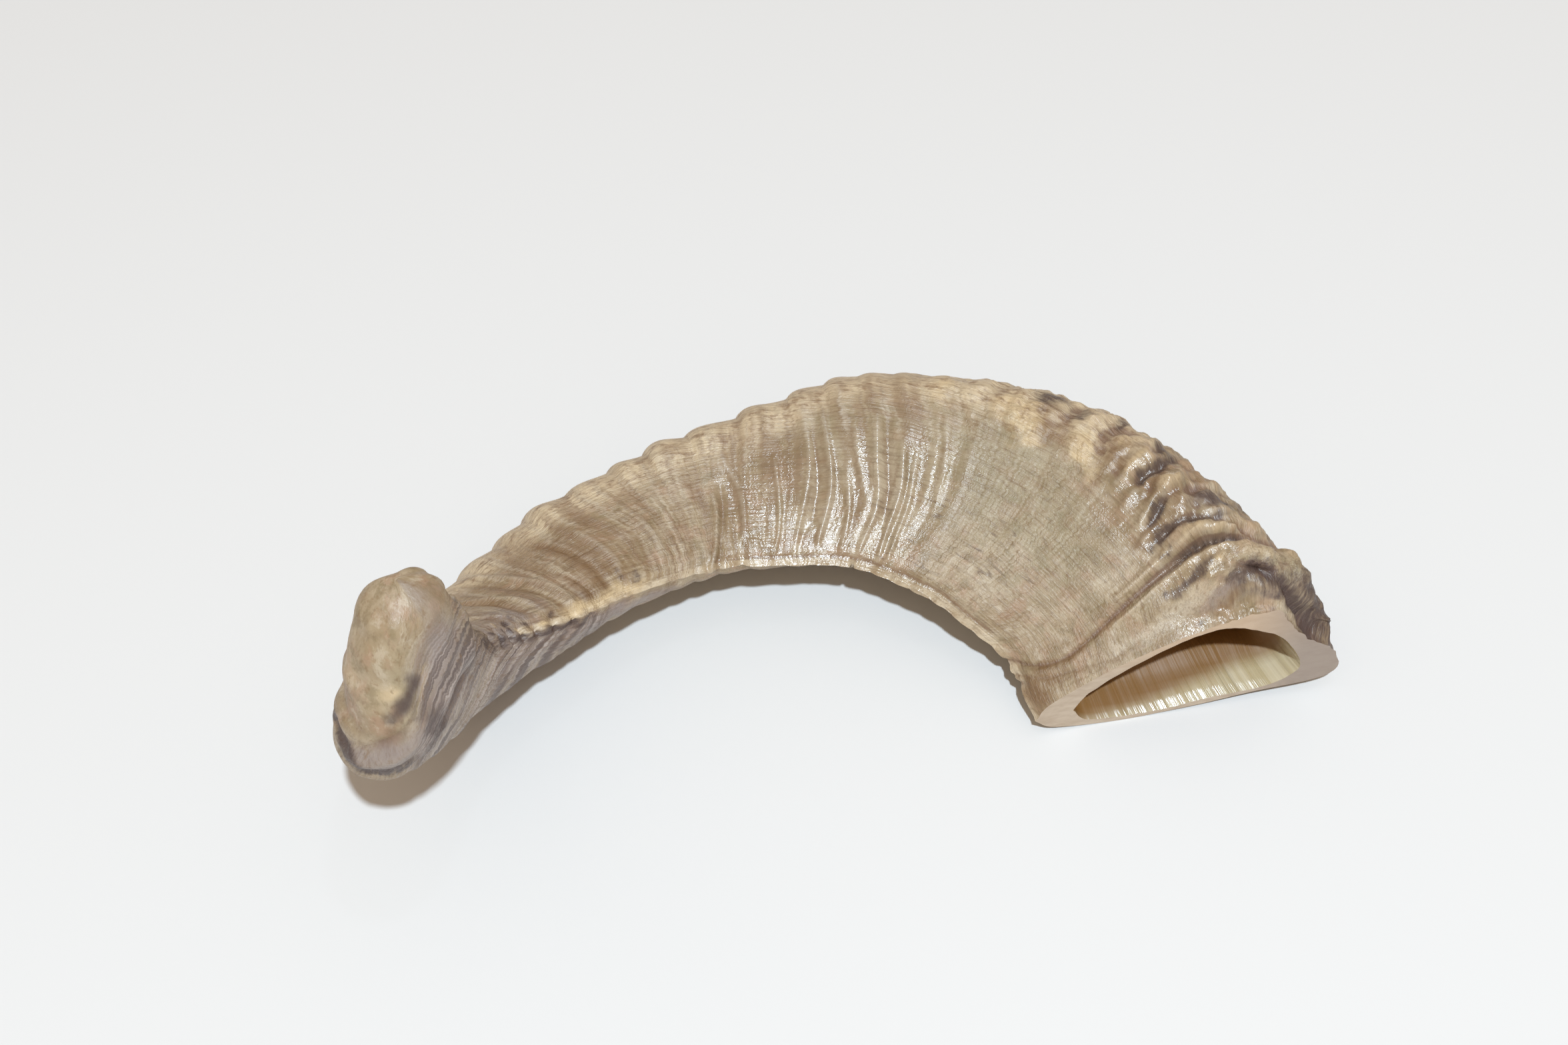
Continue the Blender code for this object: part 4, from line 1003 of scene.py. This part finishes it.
# Floor
# A plain pale sheet of smooth paper that the horn lies on, matte and nearly white.
FLOOR_HALF = 3.0
sheet = bmesh.new()
bmesh.ops.create_grid(sheet, x_segments=1, y_segments=1, size=FLOOR_HALF)
floor_mesh = bpy.data.meshes.new("floor")
sheet.to_mesh(floor_mesh)
sheet.free()
floor = bpy.data.objects.new("floor", floor_mesh)
bpy.context.scene.collection.objects.link(floor)
paper = bpy.data.materials.new("floor_paper")
paper.use_nodes = True
tree = paper.node_tree
give(tree, tree.nodes["Principled BSDF"], {"Base Color": shade("#eceef0"), "Roughness": 0.85})
floor_mesh.materials.append(paper)

# Light
# A small cool lamp in front and above, a little to the right, one overhead that adds only the highlights on
# the wet skin, and an even, warm surround. The lamps and the camera are aimed at a point under the arc.
AIM = -CENTRE * MM
LAMP_HEIGHT = math.radians(62)
LAMP_TURN = math.radians(10)
LAMP_AWAY = 2.0
LAMP_SIDE = 0.075
LAMP_POWER = 30.0
LAMP_COLOUR = (0.90, 1.01, 1.09)
TOP_LAMP_PLACE = (0.06, 0.02, 1.0)
TOP_LAMP_SIDE = 0.05
TOP_LAMP_POWER = 6.0
TOP_LAMP_COLOUR = (0.85, 1.0, 1.12)
SURROUND_STRENGTH = 0.42


def looking_at(made, place, aim):
    made.location = place
    made.rotation_euler = (Vector(aim) - Vector(place)).to_track_quat("-Z", "Y").to_euler()


def light(name, side, power, colour, place):
    lamp = bpy.data.lights.new(name, "AREA")
    lamp.shape = "DISK"
    lamp.size = side
    lamp.energy = power
    lamp.color = colour
    lamp_object = bpy.data.objects.new(name, lamp)
    bpy.context.scene.collection.objects.link(lamp_object)
    looking_at(lamp_object, place, AIM)
    return lamp_object


level = math.cos(LAMP_HEIGHT)
lamp_way = np.array((level * math.sin(LAMP_TURN), -level * math.cos(LAMP_TURN), math.sin(LAMP_HEIGHT)))
light("small_lamp", LAMP_SIDE, LAMP_POWER, LAMP_COLOUR, AIM + LAMP_AWAY * lamp_way)
top_lamp = light("top_lamp", TOP_LAMP_SIDE, TOP_LAMP_POWER, TOP_LAMP_COLOUR, TOP_LAMP_PLACE)
top_lamp.visible_diffuse = False
world = bpy.data.worlds.new("surround")
world.use_nodes = True
tree = world.node_tree
give(tree, tree.nodes["Background"], {"Color": shade("#ffe6cc"), "Strength": SURROUND_STRENGTH})
bpy.context.scene.world = world
bpy.context.scene.view_settings.view_transform = "Standard"

# Camera
# It looks down at the horn from the front, with a normal lens about half a metre away.
CAMERA_HEIGHT = math.radians(50)
CAMERA_AWAY = 0.540
CAMERA_FIELD = math.radians(37)
camera = bpy.data.cameras.new("camera")
camera.angle = CAMERA_FIELD
camera_object = bpy.data.objects.new("camera", camera)
bpy.context.scene.collection.objects.link(camera_object)
camera_way = np.array((0, -math.cos(CAMERA_HEIGHT), math.sin(CAMERA_HEIGHT)))
looking_at(camera_object, AIM + CAMERA_AWAY * camera_way, AIM)
bpy.context.scene.camera = camera_object
